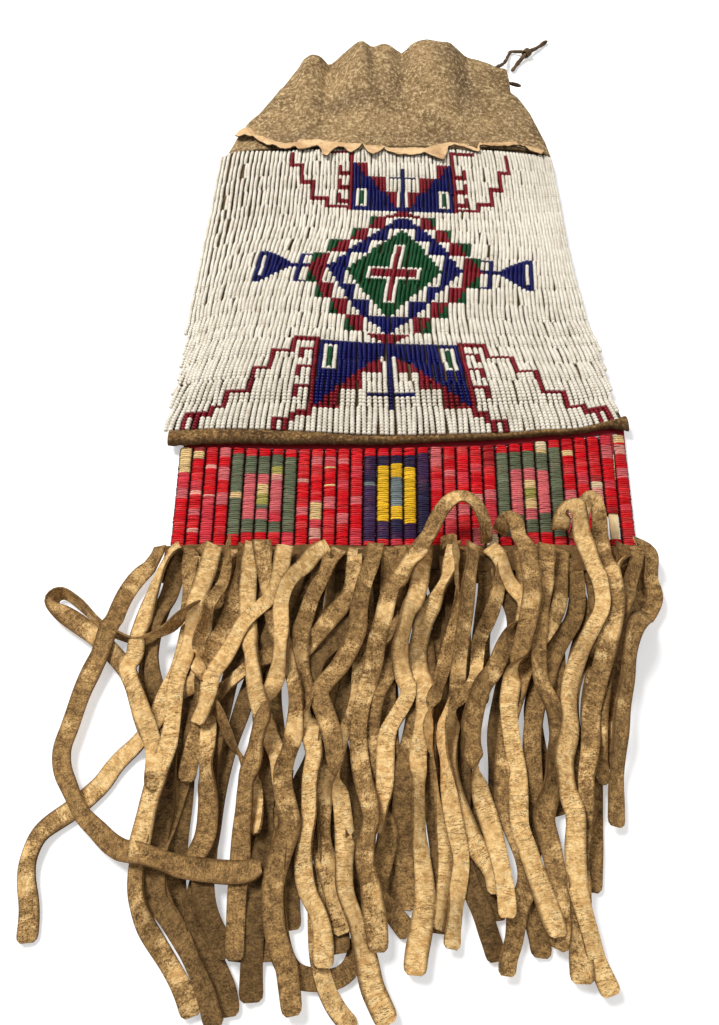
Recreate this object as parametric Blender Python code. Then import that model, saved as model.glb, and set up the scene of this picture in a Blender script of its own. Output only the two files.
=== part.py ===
"""Pipe bag: a flat hide bag with a lane stitched bead front, a row of quill wrapped
rawhide slats below it and a long hide fringe below the slats.

The bag lies on its back. X runs across it, Y along it towards the open mouth and Z up.
The origin is on the underside of the back hide, near the middle of the beaded part.
"""

import math

import bpy

MM = 0.001

# Gap kept between pieces that touch
CLEAR = 0.3 * MM

# Beaded part of the bag, two hides sewn along both sides
BODY_LENGTH = 202 * MM
BODY_TOP = 103.5 * MM
BODY_TOP_WIDTH = 185 * MM
BODY_HEM_WIDTH = 196 * MM
HEM_RISE_LEFT = 4.2 * MM
HEM_RISE_RIGHT = 11 * MM
BACK_THICKNESS = 1.4 * MM
FRONT_THICKNESS = 1.2 * MM
BODY_PUFF = 8 * MM
HEM_FLATTENING = 32 * MM
SEAM_ALLOWANCE = 4 * MM

# Bead covering, sewn in lanes across the bag
BEAD_LANES = 18
BEAD_HEIGHT = 1.8 * MM
LANE_CROWN = 0.35 * MM

# Soft upper part with the open mouth
MOUTH_LENGTH = 75 * MM
MOUTH_WIDTH = 124 * MM
MOUTH_SHIFT = 6.5 * MM
MOUTH_HEIGHT = 30 * MM
MOUTH_THICKNESS = 1.4 * MM
THONG_HOLE_RADIUS = 2.1 * MM

# Pale cut edge of the upper hide, turned down over the beads
EDGING_WIDTH = 8 * MM
EDGING_OVERLAP = 3 * MM
EDGING_THICKNESS = 0.9 * MM
TAB_DEPTH = 4 * MM

# Rolled hide hem between the beads and the slats, wider on the left
HEM_WIDTH_LEFT = 7.5 * MM
HEM_WIDTH_RIGHT = 3.5 * MM
HEM_HEIGHT = 4.2 * MM
HEM_OVERHANG = 0.8 * MM

# Rawhide cut into slats between two whole margins
SLAT_COUNT = 34
SLAT_PITCH = 5.42 * MM
SLAT_WIDTH = 3.0 * MM
SLAT_LENGTH = 47.5 * MM
SLAT_ROW_CENTRE = 1.0 * MM
RAWHIDE_THICKNESS = 1.2 * MM
MARGIN_WIDTH = 6 * MM

# Quill wrapping around each slat
WRAP_THICKNESS = 0.5 * MM
BARE_SLAT = 33
BARE_FROM_FOOT = 17 * MM
BARE_FOOT_WRAP = 3 * MM

# Fringe, two hides cut into strips
FRINGE_THICKNESS = 1.2 * MM
FRINGE_HEADER = 7 * MM
STRIP_COUNT = 21
STRIP_PITCH = 8.6 * MM
STRIP_WIDTH = 5.8 * MM
STRIP_GATHER = 0.8
FRONT_STRIP_LENGTHS = [146, 151, 148, 152, 142, 138, 149, 153, 146, 137,
                       142, 134, 139, 142, 136, 141, 134, 140, 122, 92]
BACK_STRIP_LENGTHS = [138, 144, 147, 140, 151, 143, 136, 140, 147, 151,
                      144, 136, 131, 138, 134, 139, 144, 148, 136]

# Routes of the outer strips that stray from the fringe, X and Y in millimetres
FRONT_LEFT_ROUTE = [(-91, -170), (-103, -171), (-117, -173), (-129, -178), (-128, -187),
                    (-114, -195), (-101, -205), (-94, -219), (-99, -241), (-112, -256),
                    (-118, -272), (-116, -292)]
BACK_LEFT_ROUTE = [(-92, -176), (-101, -187), (-107, -202), (-112, -220), (-116, -237),
                   (-113, -250), (-103, -260), (-89, -267), (-77, -269)]
BACK_RIGHT_ROUTE = [(92, -171), (96, -178), (94, -188), (87, -204), (81, -222), (74, -260)]

# Drawstring and its knotted end, X, Y and Z in millimetres
THONG_DIAMETER = 2.2 * MM
THONG_ROUTE = [(80.2, 169.9, 11.3), (74, 171.5, 12.1), (68, 172.3, 12.2), (62.5, 173.6, 12.1),
               (59.5, 178, 12.2), (60.5, 184, 12.3), (65, 190, 11.3), (70, 198.5, 8.5),
               (73.8, 207, 5.5), (76.8, 215.5, 3.4), (79.3, 224.5, 1.6), (81.6, 229.8, 1.5),
               (85.0, 229.3, 1.9), (88.3, 226.7, 3.2)]
TAIL_DIAMETER = 2.6 * MM
TAIL_ROUTE = [(80.1, 206.1, 1.5), (83, 212.5, 1.5), (86.8, 218.6, 2.1), (91, 224.6, 3.4),
              (98.5, 233.5, 2.0), (107, 244, 1.5)]
KNOT_LENGTH = 5 * MM
KNOT_THICKNESS = 1.4 * MM

# Colours, as red, green, blue
SMOKED_HIDE = (0.27, 0.18, 0.10)
PALE_HIDE = (0.72, 0.55, 0.34)
RAW_EDGE = (0.80, 0.63, 0.42)
BEAD_WHITE = (0.84, 0.80, 0.72)
RAWHIDE = (0.78, 0.66, 0.45)
QUILL_RED = (0.62, 0.04, 0.07)
QUILL_PINK = (0.80, 0.28, 0.28)
QUILL_GREEN = (0.30, 0.32, 0.24)
QUILL_PURPLE = (0.12, 0.07, 0.18)
QUILL_YELLOW = (0.86, 0.60, 0.08)

# Colour that stands out on each slat, from left to right
SLAT_COLOURS = (
    [QUILL_RED] * 4
    + [QUILL_GREEN, QUILL_PINK, QUILL_PINK, QUILL_PINK, QUILL_GREEN]
    + [QUILL_RED] * 5
    + [QUILL_PURPLE, QUILL_YELLOW, QUILL_YELLOW, QUILL_YELLOW, QUILL_PURPLE]
    + [QUILL_RED] * 5
    + [QUILL_GREEN, QUILL_PINK, QUILL_PINK, QUILL_PINK, QUILL_GREEN]
    + [QUILL_RED] * 5
)

# Levels and lines worked out from the sizes above
HEM_LINE = BODY_TOP - BODY_LENGTH
RAWHIDE_BASE = WRAP_THICKNESS + CLEAR
RAWHIDE_TOP = RAWHIDE_BASE + RAWHIDE_THICKNESS
FRONT_BASE = BACK_THICKNESS + CLEAR
FOOT_Y = HEM_LINE - HEM_WIDTH_LEFT - SLAT_LENGTH
COLUMNS = 17
SEAM_Y = BODY_TOP + SEAM_ALLOWANCE


# Shared building blocks

def material(name, colour, roughness):
    """Plain matt surface of one colour."""
    found = bpy.data.materials.get(name)
    if found:
        return found
    made = bpy.data.materials.new(name)
    made.use_nodes = True
    shader = made.node_tree.nodes["Principled BSDF"]
    shader.inputs["Base Color"].default_value = (*colour, 1.0)
    shader.inputs["Roughness"].default_value = roughness
    shader.inputs["Metallic"].default_value = 0.0
    return made


def add_mesh(name, verts, faces, finish, smooth=True):
    """New object from points and faces."""
    mesh = bpy.data.meshes.new(name)
    mesh.from_pydata(verts, [], faces)
    mesh.update()
    if smooth:
        mesh.shade_smooth()
        mesh.set_sharp_from_angle(angle=math.radians(35))
    mesh.materials.append(finish)
    made = bpy.data.objects.new(name, mesh)
    bpy.context.scene.collection.objects.link(made)
    return made


def slab(name, points, cells, finish):
    """Closed slab from points (x, y, low z, high z) and cells drawn counter clockwise."""
    count = len(points)
    verts = [(x, y, low) for x, y, low, high in points]
    verts += [(x, y, high) for x, y, low, high in points]
    faces = []
    edges = set()
    for cell in cells:
        faces.append([count + i for i in cell])
        faces.append(list(reversed(cell)))
        edges.update(zip(cell, list(cell[1:]) + [cell[0]]))
    for a, b in edges:
        if (b, a) not in edges:
            faces.append([a, b, count + b, count + a])
    return add_mesh(name, verts, faces, finish)


def grid_cells(columns, rows):
    """Cells of a grid whose points run row by row, upwards."""
    cells = []
    for r in range(rows - 1):
        for c in range(columns - 1):
            a = r * columns + c
            cells.append([a, a + 1, a + columns + 1, a + columns])
    return cells


def smooth_step(t):
    t = min(max(t, 0.0), 1.0)
    return t * t * (3 - 2 * t)


def spread(count):
    """Positions from -1 to 1, closer together near both ends."""
    return [math.sin(math.pi * (i / (count - 1) - 0.5)) for i in range(count)]


def smooth_route(points, spacing):
    """Points at even spacing along a smooth curve through the route, in metres."""
    pts = [tuple(v * MM for v in p) for p in points]
    pts = [pts[0]] + pts + [pts[-1]]
    fine = []
    for i in range(1, len(pts) - 2):
        p0, p1, p2, p3 = pts[i - 1:i + 3]
        for k in range(12):
            t = k / 12
            fine.append(tuple(
                0.5 * (2 * b + (c - a) * t + (2 * a - 5 * b + 4 * c - d) * t * t
                       + (3 * b - a - 3 * c + d) * t ** 3)
                for a, b, c, d in zip(p0, p1, p2, p3)))
    fine.append(pts[-1])
    lengths = [0.0]
    for a, b in zip(fine, fine[1:]):
        lengths.append(lengths[-1] + math.dist(a, b))
    steps = max(2, round(lengths[-1] / spacing))
    even = []
    j = 0
    for s in range(steps + 1):
        want = lengths[-1] * s / steps
        while j < len(fine) - 2 and lengths[j + 1] < want:
            j += 1
        t = (want - lengths[j]) / (lengths[j + 1] - lengths[j])
        even.append(tuple(a + (b - a) * t for a, b in zip(fine[j], fine[j + 1])))
    return even


# Outline and heights of the bag

def half_width(y):
    """Half the width of the beaded part at a place along the bag."""
    t = (y - HEM_LINE) / BODY_LENGTH
    return (BODY_HEM_WIDTH + (BODY_TOP_WIDTH - BODY_HEM_WIDTH) * t) / 2


def in_facets(curve, u):
    """Height of a curve at u, in straight facets between the columns of the body."""
    stops = spread(COLUMNS)
    for a, b in zip(stops, stops[1:]):
        if u <= b or b == stops[-1]:
            t = min(max((u - a) / (b - a), 0.0), 1.0)
            return curve(a) + (curve(b) - curve(a)) * t


def hem_y(x):
    """Lower edge of the beaded part, which climbs to both sides."""
    def rise(u):
        if u > 0:
            return HEM_RISE_RIGHT * u * u
        return HEM_RISE_LEFT * smooth_step(-1.3 * u)
    return HEM_LINE + in_facets(rise, x / (BODY_HEM_WIDTH / 2))


def hem_width(x):
    """Width of the rolled hem, which narrows towards the middle."""
    def width(u):
        return HEM_WIDTH_RIGHT + (HEM_WIDTH_LEFT - HEM_WIDTH_RIGHT) * smooth_step(-1.6 * u)
    return in_facets(width, x / (BODY_HEM_WIDTH / 2))


def crown(u):
    """Rounded cross section, 1 in the middle and 0 at both sides."""
    return in_facets(lambda v: max(0.0, 1 - abs(v) ** 2.5) ** 0.55, u)


def puff(x, y):
    """Height of the hollow between the two hides."""
    opened = smooth_step((y - hem_y(x)) / HEM_FLATTENING)
    return BODY_PUFF * opened * crown(x / half_width(y))


def front_top(x, y):
    return FRONT_BASE + puff(x, y) + FRONT_THICKNESS


def body_sheet(name, rows, with_seam, heights, finish):
    """Sheet as wide as the body. Its rows run from the hem to the last lane of beads."""
    points = []
    for r in range(rows + with_seam):
        for u in spread(COLUMNS):
            low = hem_y(u * BODY_HEM_WIDTH / 2)
            y = low + (BODY_TOP - low) * r / (rows - 1) if r < rows else SEAM_Y
            x = u * half_width(y)
            points.append((x, y, *heights(x, y, r)))
    slab(name, points, grid_cells(COLUMNS, rows + with_seam), finish)


# Body hides

def back_hide(finish):
    def heights(x, y, row):
        return 0.0, BACK_THICKNESS
    body_sheet("back_hide", 2, True, heights, finish)


def front_hide(finish):
    def heights(x, y, row):
        low = FRONT_BASE + puff(x, y)
        return low, low + FRONT_THICKNESS
    body_sheet("front_hide", BEAD_LANES * 2 + 1, True, heights, finish)


def bead_covering(finish):
    """Bead slab over the front hide, with a low crown along each lane."""
    def heights(x, y, row):
        base = front_top(x, y) + CLEAR
        return base, base + BEAD_HEIGHT + (LANE_CROWN if row % 2 else 0.0)
    body_sheet("bead_covering", BEAD_LANES * 2 + 1, False, heights, finish)


# Upper part with the open mouth

def mouth_section(t):
    """Centre, half width and height of the upper part, t from 0 at the seam to 1."""
    start = half_width(SEAM_Y)
    centre = MOUTH_SHIFT * t
    half = start + (MOUTH_WIDTH / 2 - start) * t
    seam_height = FRONT_BASE + BODY_PUFF + FRONT_THICKNESS
    height = seam_height + (MOUTH_HEIGHT - seam_height) * smooth_step(t * 1.15)
    return centre, half, height


def mouth_ring(t, inset):
    """One closed ring of the upper part, counter clockwise seen from the mouth end."""
    centre, half, height = mouth_section(t)
    half -= inset * 1.15
    base = inset
    edge = base + (0.4 * MM if inset else 1.45 * MM)
    top = height - inset
    y = SEAM_Y + CLEAR + MOUTH_LENGTH * t
    over = [(centre + half * u, y, edge + (top - edge) * crown(u)) for u in spread(COLUMNS)]
    under = [(centre + half * 0.985 * u, y, base) for u in reversed(spread(7))]
    return over + under


def upper_hide(finish):
    """Soft tube of hide, puffed towards the mouth and flat underneath."""
    stations = 11
    rings = [mouth_ring(i / (stations - 1), 0.0) for i in range(stations)]
    rings += [mouth_ring(i / (stations - 1), MOUTH_THICKNESS)
              for i in reversed(range(stations))]
    size = len(rings[0])
    verts = [p for ring in rings for p in ring]
    faces = []
    for r in range(len(rings)):
        after = (r + 1) % len(rings)
        for k in range(size):
            n = (k + 1) % size
            faces.append([r * size + k, r * size + n, after * size + n, after * size + k])
    hide = add_mesh("upper_hide", verts, faces, finish)

    # Small hole that the drawstring passes through, on the right
    x, y, z = (v * MM for v in THONG_ROUTE[2])
    cutter = thong_hole_cutter((x, y, z))
    cut = hide.modifiers.new("thong hole", "BOOLEAN")
    cut.operation = "DIFFERENCE"
    cut.object = cutter


def thong_hole_cutter(at):
    sides = 10
    length = 12 * MM
    verts = []
    for end in (-length, length):
        for k in range(sides):
            a = 2 * math.pi * k / sides
            verts.append((at[0] + end, at[1] + THONG_HOLE_RADIUS * math.cos(a),
                          at[2] + THONG_HOLE_RADIUS * math.sin(a)))
    faces = [[k, (k + 1) % sides, sides + (k + 1) % sides, sides + k] for k in range(sides)]
    faces += [list(reversed(range(sides))), [sides + k for k in range(sides)]]
    cutter = add_mesh("thong_hole_cutter", verts, faces, material("cutter", RAW_EDGE, 0.9))
    cutter.hide_render = True
    cutter.display_type = "WIRE"
    return cutter


def pinked_edging(finish):
    """Pale strip over the top of the beads, cut into shallow tabs."""
    top_y = SEAM_Y + EDGING_OVERLAP
    low_y = SEAM_Y - EDGING_WIDTH
    seam_height = FRONT_BASE + BODY_PUFF + FRONT_THICKNESS

    def floor_z(x, y):
        over_beads = front_top(x, min(y, BODY_TOP)) + CLEAR + BEAD_HEIGHT + LANE_CROWN
        t = (y - SEAM_Y) / MOUTH_LENGTH
        centre, half, height = mouth_section(max(t, 0.0))
        u = min(abs(x - centre) / half, 1.0)
        over_mouth = 1.45 * MM + (height - 1.45 * MM) * crown(u)
        return max(over_beads, over_mouth) + CLEAR

    stops = []
    for a, b in zip(spread(COLUMNS), spread(COLUMNS)[1:]):
        stops += [a, (a + b) / 2]
    stops = stops[1:]
    points = []
    for row in range(3):
        for c, u in enumerate(stops):
            y = (low_y + (TAB_DEPTH if c % 2 == 0 else 0.0), SEAM_Y, top_y)[row]
            x = u * half_width(y)
            low = floor_z(x, y)
            points.append((x, y, low, low + EDGING_THICKNESS))
    slab("pinked_edging", points, grid_cells(len(stops), 3), finish)


# Hem and slats

def hem_roll(finish):
    """Rolled hide between the beads and the slats."""
    base = RAWHIDE_TOP + CLEAR
    profile = [(0.0, 0.45), (0.25, 0.9), (0.55, 1.0), (0.85, 0.8), (1.0, 0.35)]
    half = BODY_HEM_WIDTH / 2
    stops = [-half - HEM_OVERHANG] + [u * half for u in spread(COLUMNS)] + [half + HEM_OVERHANG]
    points = []
    for across, rise in reversed(profile):
        for x in stops:
            y = hem_y(x) - CLEAR - across * hem_width(x)
            points.append((x, y, base, base + HEM_HEIGHT * rise))
    slab("hem_roll", points, grid_cells(len(stops), len(profile)), finish)


def slat_x(i):
    return SLAT_ROW_CENTRE + (i - (SLAT_COUNT - 1) / 2) * SLAT_PITCH


def slat_head_y(x):
    """Where a slat comes out from under the hem."""
    return hem_y(x) - CLEAR - hem_width(x) - CLEAR


def rawhide_comb(finish):
    """Rawhide sheet with a whole margin above and below its slats."""
    stops = []
    for i in range(SLAT_COUNT):
        stops += [slat_x(i) - SLAT_WIDTH / 2, slat_x(i) + SLAT_WIDTH / 2]
    rows = []
    for level in range(4):
        for x in stops:
            y = (FOOT_Y - MARGIN_WIDTH, FOOT_Y, slat_head_y(x) + CLEAR,
                 hem_y(x) - 2 * CLEAR)[level]
            rows.append((x, y, RAWHIDE_BASE, RAWHIDE_TOP))
    width = len(stops)
    cells = []
    for level in range(3):
        for c in range(width - 1):
            if level == 1 and c % 2:
                continue
            a = level * width + c
            cells.append([a, a + 1, a + width + 1, a + width])
    slab("rawhide_comb", rows, cells, finish)


def wrap_ring(x, y, width, height):
    """Ring around a slat with rounded corners, in the XZ plane."""
    middle = RAWHIDE_BASE + RAWHIDE_THICKNESS / 2
    ring = []
    for k in range(12):
        a = 2 * math.pi * (k + 0.5) / 12
        c, s = math.cos(a), math.sin(a)
        ring.append((x + width / 2 * math.copysign(abs(c) ** 0.55, c), y,
                     middle + height / 2 * math.copysign(abs(s) ** 0.55, s)))
    return ring


def quill_wrap(name, x, low_y, high_y, finish):
    """Sleeve of flattened quills around one slat."""
    corner = 1.08
    inner_w = (SLAT_WIDTH + 2 * CLEAR) * corner
    inner_h = (RAWHIDE_THICKNESS + 2 * CLEAR) * corner
    outer_w = SLAT_WIDTH + 2 * CLEAR + 2 * WRAP_THICKNESS
    outer_h = RAWHIDE_THICKNESS + 2 * CLEAR + 2 * WRAP_THICKNESS
    rings = [wrap_ring(x, low_y, outer_w, outer_h), wrap_ring(x, high_y, outer_w, outer_h),
             wrap_ring(x, high_y, inner_w, inner_h), wrap_ring(x, low_y, inner_w, inner_h)]
    verts = [p for ring in rings for p in ring]
    faces = []
    for r in range(4):
        after = (r + 1) % 4
        for k in range(12):
            n = (k + 1) % 12
            faces.append([r * 12 + k, after * 12 + k, after * 12 + n, r * 12 + n])
    add_mesh(name, verts, faces, finish)


def quill_wraps():
    for i in range(SLAT_COUNT):
        x = slat_x(i)
        colour = SLAT_COLOURS[i % len(SLAT_COLOURS)]
        finish = material("quill_%02d" % SLAT_COLOURS.index(colour), colour, 0.45)
        low = FOOT_Y + CLEAR
        high = min(slat_head_y(x - SLAT_WIDTH), slat_head_y(x + SLAT_WIDTH))
        if i + 1 == BARE_SLAT:
            quill_wrap("quill_wrap_foot_%02d" % (i + 1), x, low, low + BARE_FOOT_WRAP, finish)
            low += BARE_FROM_FOOT
        quill_wrap("quill_wrap_%02d" % (i + 1), x, low, high, finish)


# Fringe

def strip_cells(points, centreline, start, low, high):
    """Add a strip that leaves the header at the two start points."""
    cells = []
    left, right = start
    for k in range(len(centreline)):
        before = centreline[k - 1] if k else points_middle(points, start)
        here = centreline[k]
        after = centreline[k + 1] if k + 1 < len(centreline) else here
        dx, dy = after[0] - before[0], after[1] - before[1]
        size = math.hypot(dx, dy)
        nx, ny = -dy / size, dx / size
        half = STRIP_WIDTH / 2
        points.append((here[0] - nx * half, here[1] - ny * half, low, high))
        points.append((here[0] + nx * half, here[1] + ny * half, low, high))
        new_left, new_right = len(points) - 2, len(points) - 1
        cells.append([new_left, new_right, right, left])
        left, right = new_left, new_right
    return cells


def points_middle(points, pair):
    a, b = points[pair[0]], points[pair[1]]
    return ((a[0] + b[0]) / 2, (a[1] + b[1]) / 2)


def fringe(name, header_top, header_width, base, routes, finish):
    """Hide cut into strips below a whole header. A route is a list of points, in metres."""
    low, high = base, base + FRINGE_THICKNESS
    foot = header_top - header_width
    stops = []
    for i in range(STRIP_COUNT):
        x = strip_root(i)
        stops += [x - STRIP_WIDTH / 2, x + STRIP_WIDTH / 2]
    points = [(x, y, low, high) for y in (foot, header_top) for x in stops]
    cells = grid_cells(len(stops), 2)
    for i, route in enumerate(routes):
        cells += strip_cells(points, route, (2 * i, 2 * i + 1), low, high)
    slab(name, points, cells, finish)


def strip_root(i):
    return SLAT_ROW_CENTRE + (i - (STRIP_COUNT - 1) / 2) * STRIP_PITCH


def straight_route(i, top, length):
    """Strip that hangs straight and gathers slightly towards the middle."""
    x = strip_root(i)
    return [(x * STRIP_GATHER, top - length)]


def in_metres(route, top):
    """Chosen route, moved along the bag with the header it hangs from."""
    shift = top - route[0][1] * MM - 6 * MM
    return [(x * MM, y * MM + shift) for x, y in route]


def front_fringe(finish):
    """Upper layer, sewn over the lower margin of the rawhide."""
    header_top = FOOT_Y - CLEAR
    header_width = MARGIN_WIDTH + FRINGE_HEADER / 2
    foot = header_top - header_width
    routes = [in_metres(FRONT_LEFT_ROUTE, foot)]
    for i, length in enumerate(FRONT_STRIP_LENGTHS):
        routes.append(straight_route(i + 1, foot, length * MM))
    fringe("front_fringe", header_top, header_width, RAWHIDE_TOP + CLEAR, routes, finish)


def back_fringe(finish):
    """Lower layer, against the end of the rawhide and on the ground."""
    header_top = FOOT_Y - MARGIN_WIDTH - CLEAR
    foot = header_top - FRINGE_HEADER
    routes = [in_metres(BACK_LEFT_ROUTE, foot)]
    for i, length in enumerate(BACK_STRIP_LENGTHS):
        routes.append(straight_route(i + 1, foot, length * MM))
    routes.append(in_metres(BACK_RIGHT_ROUTE, foot))
    fringe("back_fringe", header_top, FRINGE_HEADER, 0.0, routes, finish)


# Drawstring

def cord(name, route, diameter, finish):
    """Round thong along a smooth route, with closed ends."""
    curve = bpy.data.curves.new(name, "CURVE")
    curve.dimensions = "3D"
    curve.bevel_depth = diameter / 2
    curve.bevel_resolution = 2
    curve.use_fill_caps = True
    points = smooth_route(route, diameter * 2)
    line = curve.splines.new("POLY")
    line.points.add(len(points) - 1)
    for point, at in zip(line.points, points):
        point.co = (*at, 1.0)
    curve.materials.append(finish)
    made = bpy.data.objects.new(name, curve)
    bpy.context.scene.collection.objects.link(made)


def thong_knot(finish):
    """Turns of thong tied round the tail piece."""
    here = [v * MM for v in TAIL_ROUTE[3]]
    before = [v * MM for v in TAIL_ROUTE[2]]
    after = [v * MM for v in TAIL_ROUTE[4]]
    along = (after[0] - before[0], after[1] - before[1])
    size = math.hypot(*along)
    dx, dy = along[0] / size, along[1] / size
    inner = TAIL_DIAMETER / 2 + CLEAR
    outer = inner + KNOT_THICKNESS
    sides = 12
    verts = []
    for radius, end in ((outer, -1), (outer, 1), (inner, 1), (inner, -1)):
        for k in range(sides):
            a = 2 * math.pi * k / sides
            side, up = radius * math.cos(a), radius * math.sin(a)
            reach = end * KNOT_LENGTH / 2
            verts.append((here[0] + dx * reach + dy * side, here[1] + dy * reach - dx * side,
                          here[2] + up))
    faces = []
    for r in range(4):
        after_ring = (r + 1) % 4
        for k in range(sides):
            n = (k + 1) % sides
            faces.append([r * sides + k, after_ring * sides + k, after_ring * sides + n,
                          r * sides + n])
    add_mesh("thong_knot", verts, faces, finish)


# The whole bag

def build():
    for old in list(bpy.data.objects):
        bpy.data.objects.remove(old, do_unlink=True)
    smoked = material("smoked_hide", SMOKED_HIDE, 0.9)
    pale = material("pale_hide", PALE_HIDE, 0.85)
    back_hide(smoked)
    front_hide(smoked)
    bead_covering(material("beads", BEAD_WHITE, 0.25))
    upper_hide(smoked)
    pinked_edging(material("raw_edge", RAW_EDGE, 0.85))
    hem_roll(smoked)
    rawhide_comb(material("rawhide", RAWHIDE, 0.6))
    quill_wraps()
    front_fringe(pale)
    back_fringe(pale)
    cord("drawstring_thong", THONG_ROUTE, THONG_DIAMETER, smoked)
    cord("thong_tail", TAIL_ROUTE, TAIL_DIAMETER, smoked)
    thong_knot(smoked)


build()
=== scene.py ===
"""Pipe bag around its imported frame: lane stitched beads, quilled slats and a long hide fringe.

The bag lies on its back on a pale floor. X runs across it, Y along it towards the open mouth
and Z up. Sizes are written in millimetres and turned into metres where a mesh is made.
"""

import math

import bpy
import numpy as np
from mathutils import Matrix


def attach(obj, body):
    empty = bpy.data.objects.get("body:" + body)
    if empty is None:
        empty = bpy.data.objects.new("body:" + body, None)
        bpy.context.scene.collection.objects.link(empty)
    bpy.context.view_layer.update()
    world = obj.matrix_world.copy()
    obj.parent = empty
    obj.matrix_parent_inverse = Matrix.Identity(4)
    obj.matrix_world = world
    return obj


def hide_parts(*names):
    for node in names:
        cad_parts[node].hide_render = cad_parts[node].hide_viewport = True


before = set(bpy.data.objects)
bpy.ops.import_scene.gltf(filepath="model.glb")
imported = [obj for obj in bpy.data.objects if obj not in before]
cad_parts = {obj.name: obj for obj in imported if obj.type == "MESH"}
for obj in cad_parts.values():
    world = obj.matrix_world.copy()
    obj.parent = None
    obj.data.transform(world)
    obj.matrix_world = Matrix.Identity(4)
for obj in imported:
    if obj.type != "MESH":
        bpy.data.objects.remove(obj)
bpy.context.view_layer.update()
scene = bpy.context.scene


# ---- Floor, light and camera ------------------------------------------------------------
# A pale floor that the camera sees as white, with the bag's shadow kept on it, under one
# large soft lamp on the upper left, a weaker one on the right and an even sky.

MM = 0.001
FLOOR_REACH, FLOOR_UNDER, FLOOR_LIFT = 3000, -0.2, 0.42
SKY_LIGHT, SKY_SEEN_MORE, BAG_MIDDLE_Y = 0.27, 0.73, -0.05


def add_node(tree, kind, feeds=None, **settings):
    """New node; each feed is an input's value or the socket that drives it."""
    made = tree.nodes.new(kind)
    for key, value in settings.items():
        setattr(made, key, value)
    for key, value in (feeds or {}).items():
        if isinstance(value, bpy.types.NodeSocket):
            tree.links.new(value, made.inputs[key])
        else:
            made.inputs[key].default_value = value
    return made


def maths(tree, operation, *values):
    """Result of a Math node."""
    return add_node(tree, "ShaderNodeMath", dict(enumerate(values)),
                    operation=operation).outputs[0]


def new_material(name):
    """Material with an empty Principled shader, and its tree."""
    made = bpy.data.materials.new(name)
    made.use_nodes = True
    return made, made.node_tree, made.node_tree.nodes["Principled BSDF"]


def mesh_piece(name, points, faces, finish, smooth=True):
    """Object from points in millimetres."""
    mesh = bpy.data.meshes.new(name)
    mesh.from_pydata((np.asarray(points, float) * MM).tolist(), [], faces)
    mesh.update()
    if smooth:
        mesh.shade_smooth()
    mesh.materials.append(finish)
    made = bpy.data.objects.new(name, mesh)
    scene.collection.objects.link(made)
    return made


def lit_floor():
    """Pale floor that lifts itself to white for the camera and for reflections only."""
    finish, tree, shader = new_material("pale_floor")
    for title, value in (("Base Color", (0.82, 0.82, 0.82, 1)), ("Roughness", 1.0),
                         ("Specular IOR Level", 0.0), ("Emission Color", (1, 1, 1, 1))):
        shader.inputs[title].default_value = value
    path = add_node(tree, "ShaderNodeLightPath").outputs
    seen = maths(tree, "MAXIMUM", path["Is Camera Ray"], path["Is Glossy Ray"])
    tree.links.new(maths(tree, "MULTIPLY", seen, FLOOR_LIFT), shader.inputs["Emission Strength"])
    corners = [(x * FLOOR_REACH, y * FLOOR_REACH, FLOOR_UNDER)
               for x, y in ((-1, -1), (1, -1), (1, 1), (-1, 1))]
    mesh_piece("floor", corners, [(0, 1, 2, 3)], finish, smooth=False)


def lamp(name, azimuth, elevation, distance, size, power):
    """Area lamp aimed at the middle of the bag; azimuth 0 is the camera's side."""
    data = bpy.data.lights.new(name, "AREA")
    data.shape = "DISK"
    data.size = size
    data.energy = power
    made = bpy.data.objects.new(name, data)
    around, up = math.radians(azimuth), math.radians(elevation)
    made.location = (distance * math.sin(around) * math.cos(up),
                     BAG_MIDDLE_Y - distance * math.cos(around) * math.cos(up),
                     distance * math.sin(up))
    made.rotation_euler = (math.pi / 2 - up, 0.0, around)
    scene.collection.objects.link(made)


lit_floor()
lamp("key_lamp", -120, 58, 1.3, 0.55, 17.0)
lamp("fill_lamp", 55, 40, 1.6, 0.9, 5.4)
world = bpy.data.worlds.new("even_sky")
world.use_nodes = True
sky = world.node_tree.nodes["Background"].inputs
sky_path = add_node(world.node_tree, "ShaderNodeLightPath").outputs
world.node_tree.links.new(maths(world.node_tree, "MULTIPLY_ADD", sky_path["Is Camera Ray"],
                                SKY_SEEN_MORE, SKY_LIGHT), sky["Strength"])
sky["Color"].default_value = (1, 1, 1, 1)
scene.world = world
scene.view_settings.view_transform = "Standard"

camera_data = bpy.data.cameras.new("camera")
camera_data.lens = 29.854
camera_data.sensor_width = 36
camera = bpy.data.objects.new("camera", camera_data)
camera.location = (-0.0165, -0.3315, 0.282)
camera.rotation_euler = (math.radians(35), 0.0, 0.0)
scene.collection.objects.link(camera)
scene.camera = camera


# ---- Hide finishes shared by the soft pieces -----------------------------------------------
# Smoke tanned hide is a soft nap over uneven brown, darker where it was handled. The group
# gives its colour and its height over the surface.

VECTOR, FLOAT, COLOUR = "NodeSocketVector", "NodeSocketFloat", "NodeSocketColor"


def new_group(name, inputs, outputs):
    """Shader group with named sockets: its tree, what it takes and what it gives."""
    group = bpy.data.node_groups.new(name, "ShaderNodeTree")
    for title, kind, value in inputs:
        socket = group.interface.new_socket(title, in_out="INPUT", socket_type=kind)
        if value is not None:
            socket.default_value = value
    for title, kind in outputs:
        group.interface.new_socket(title, in_out="OUTPUT", socket_type=kind)
    return group, group.nodes.new("NodeGroupInput").outputs, group.nodes.new("NodeGroupOutput")


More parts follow.
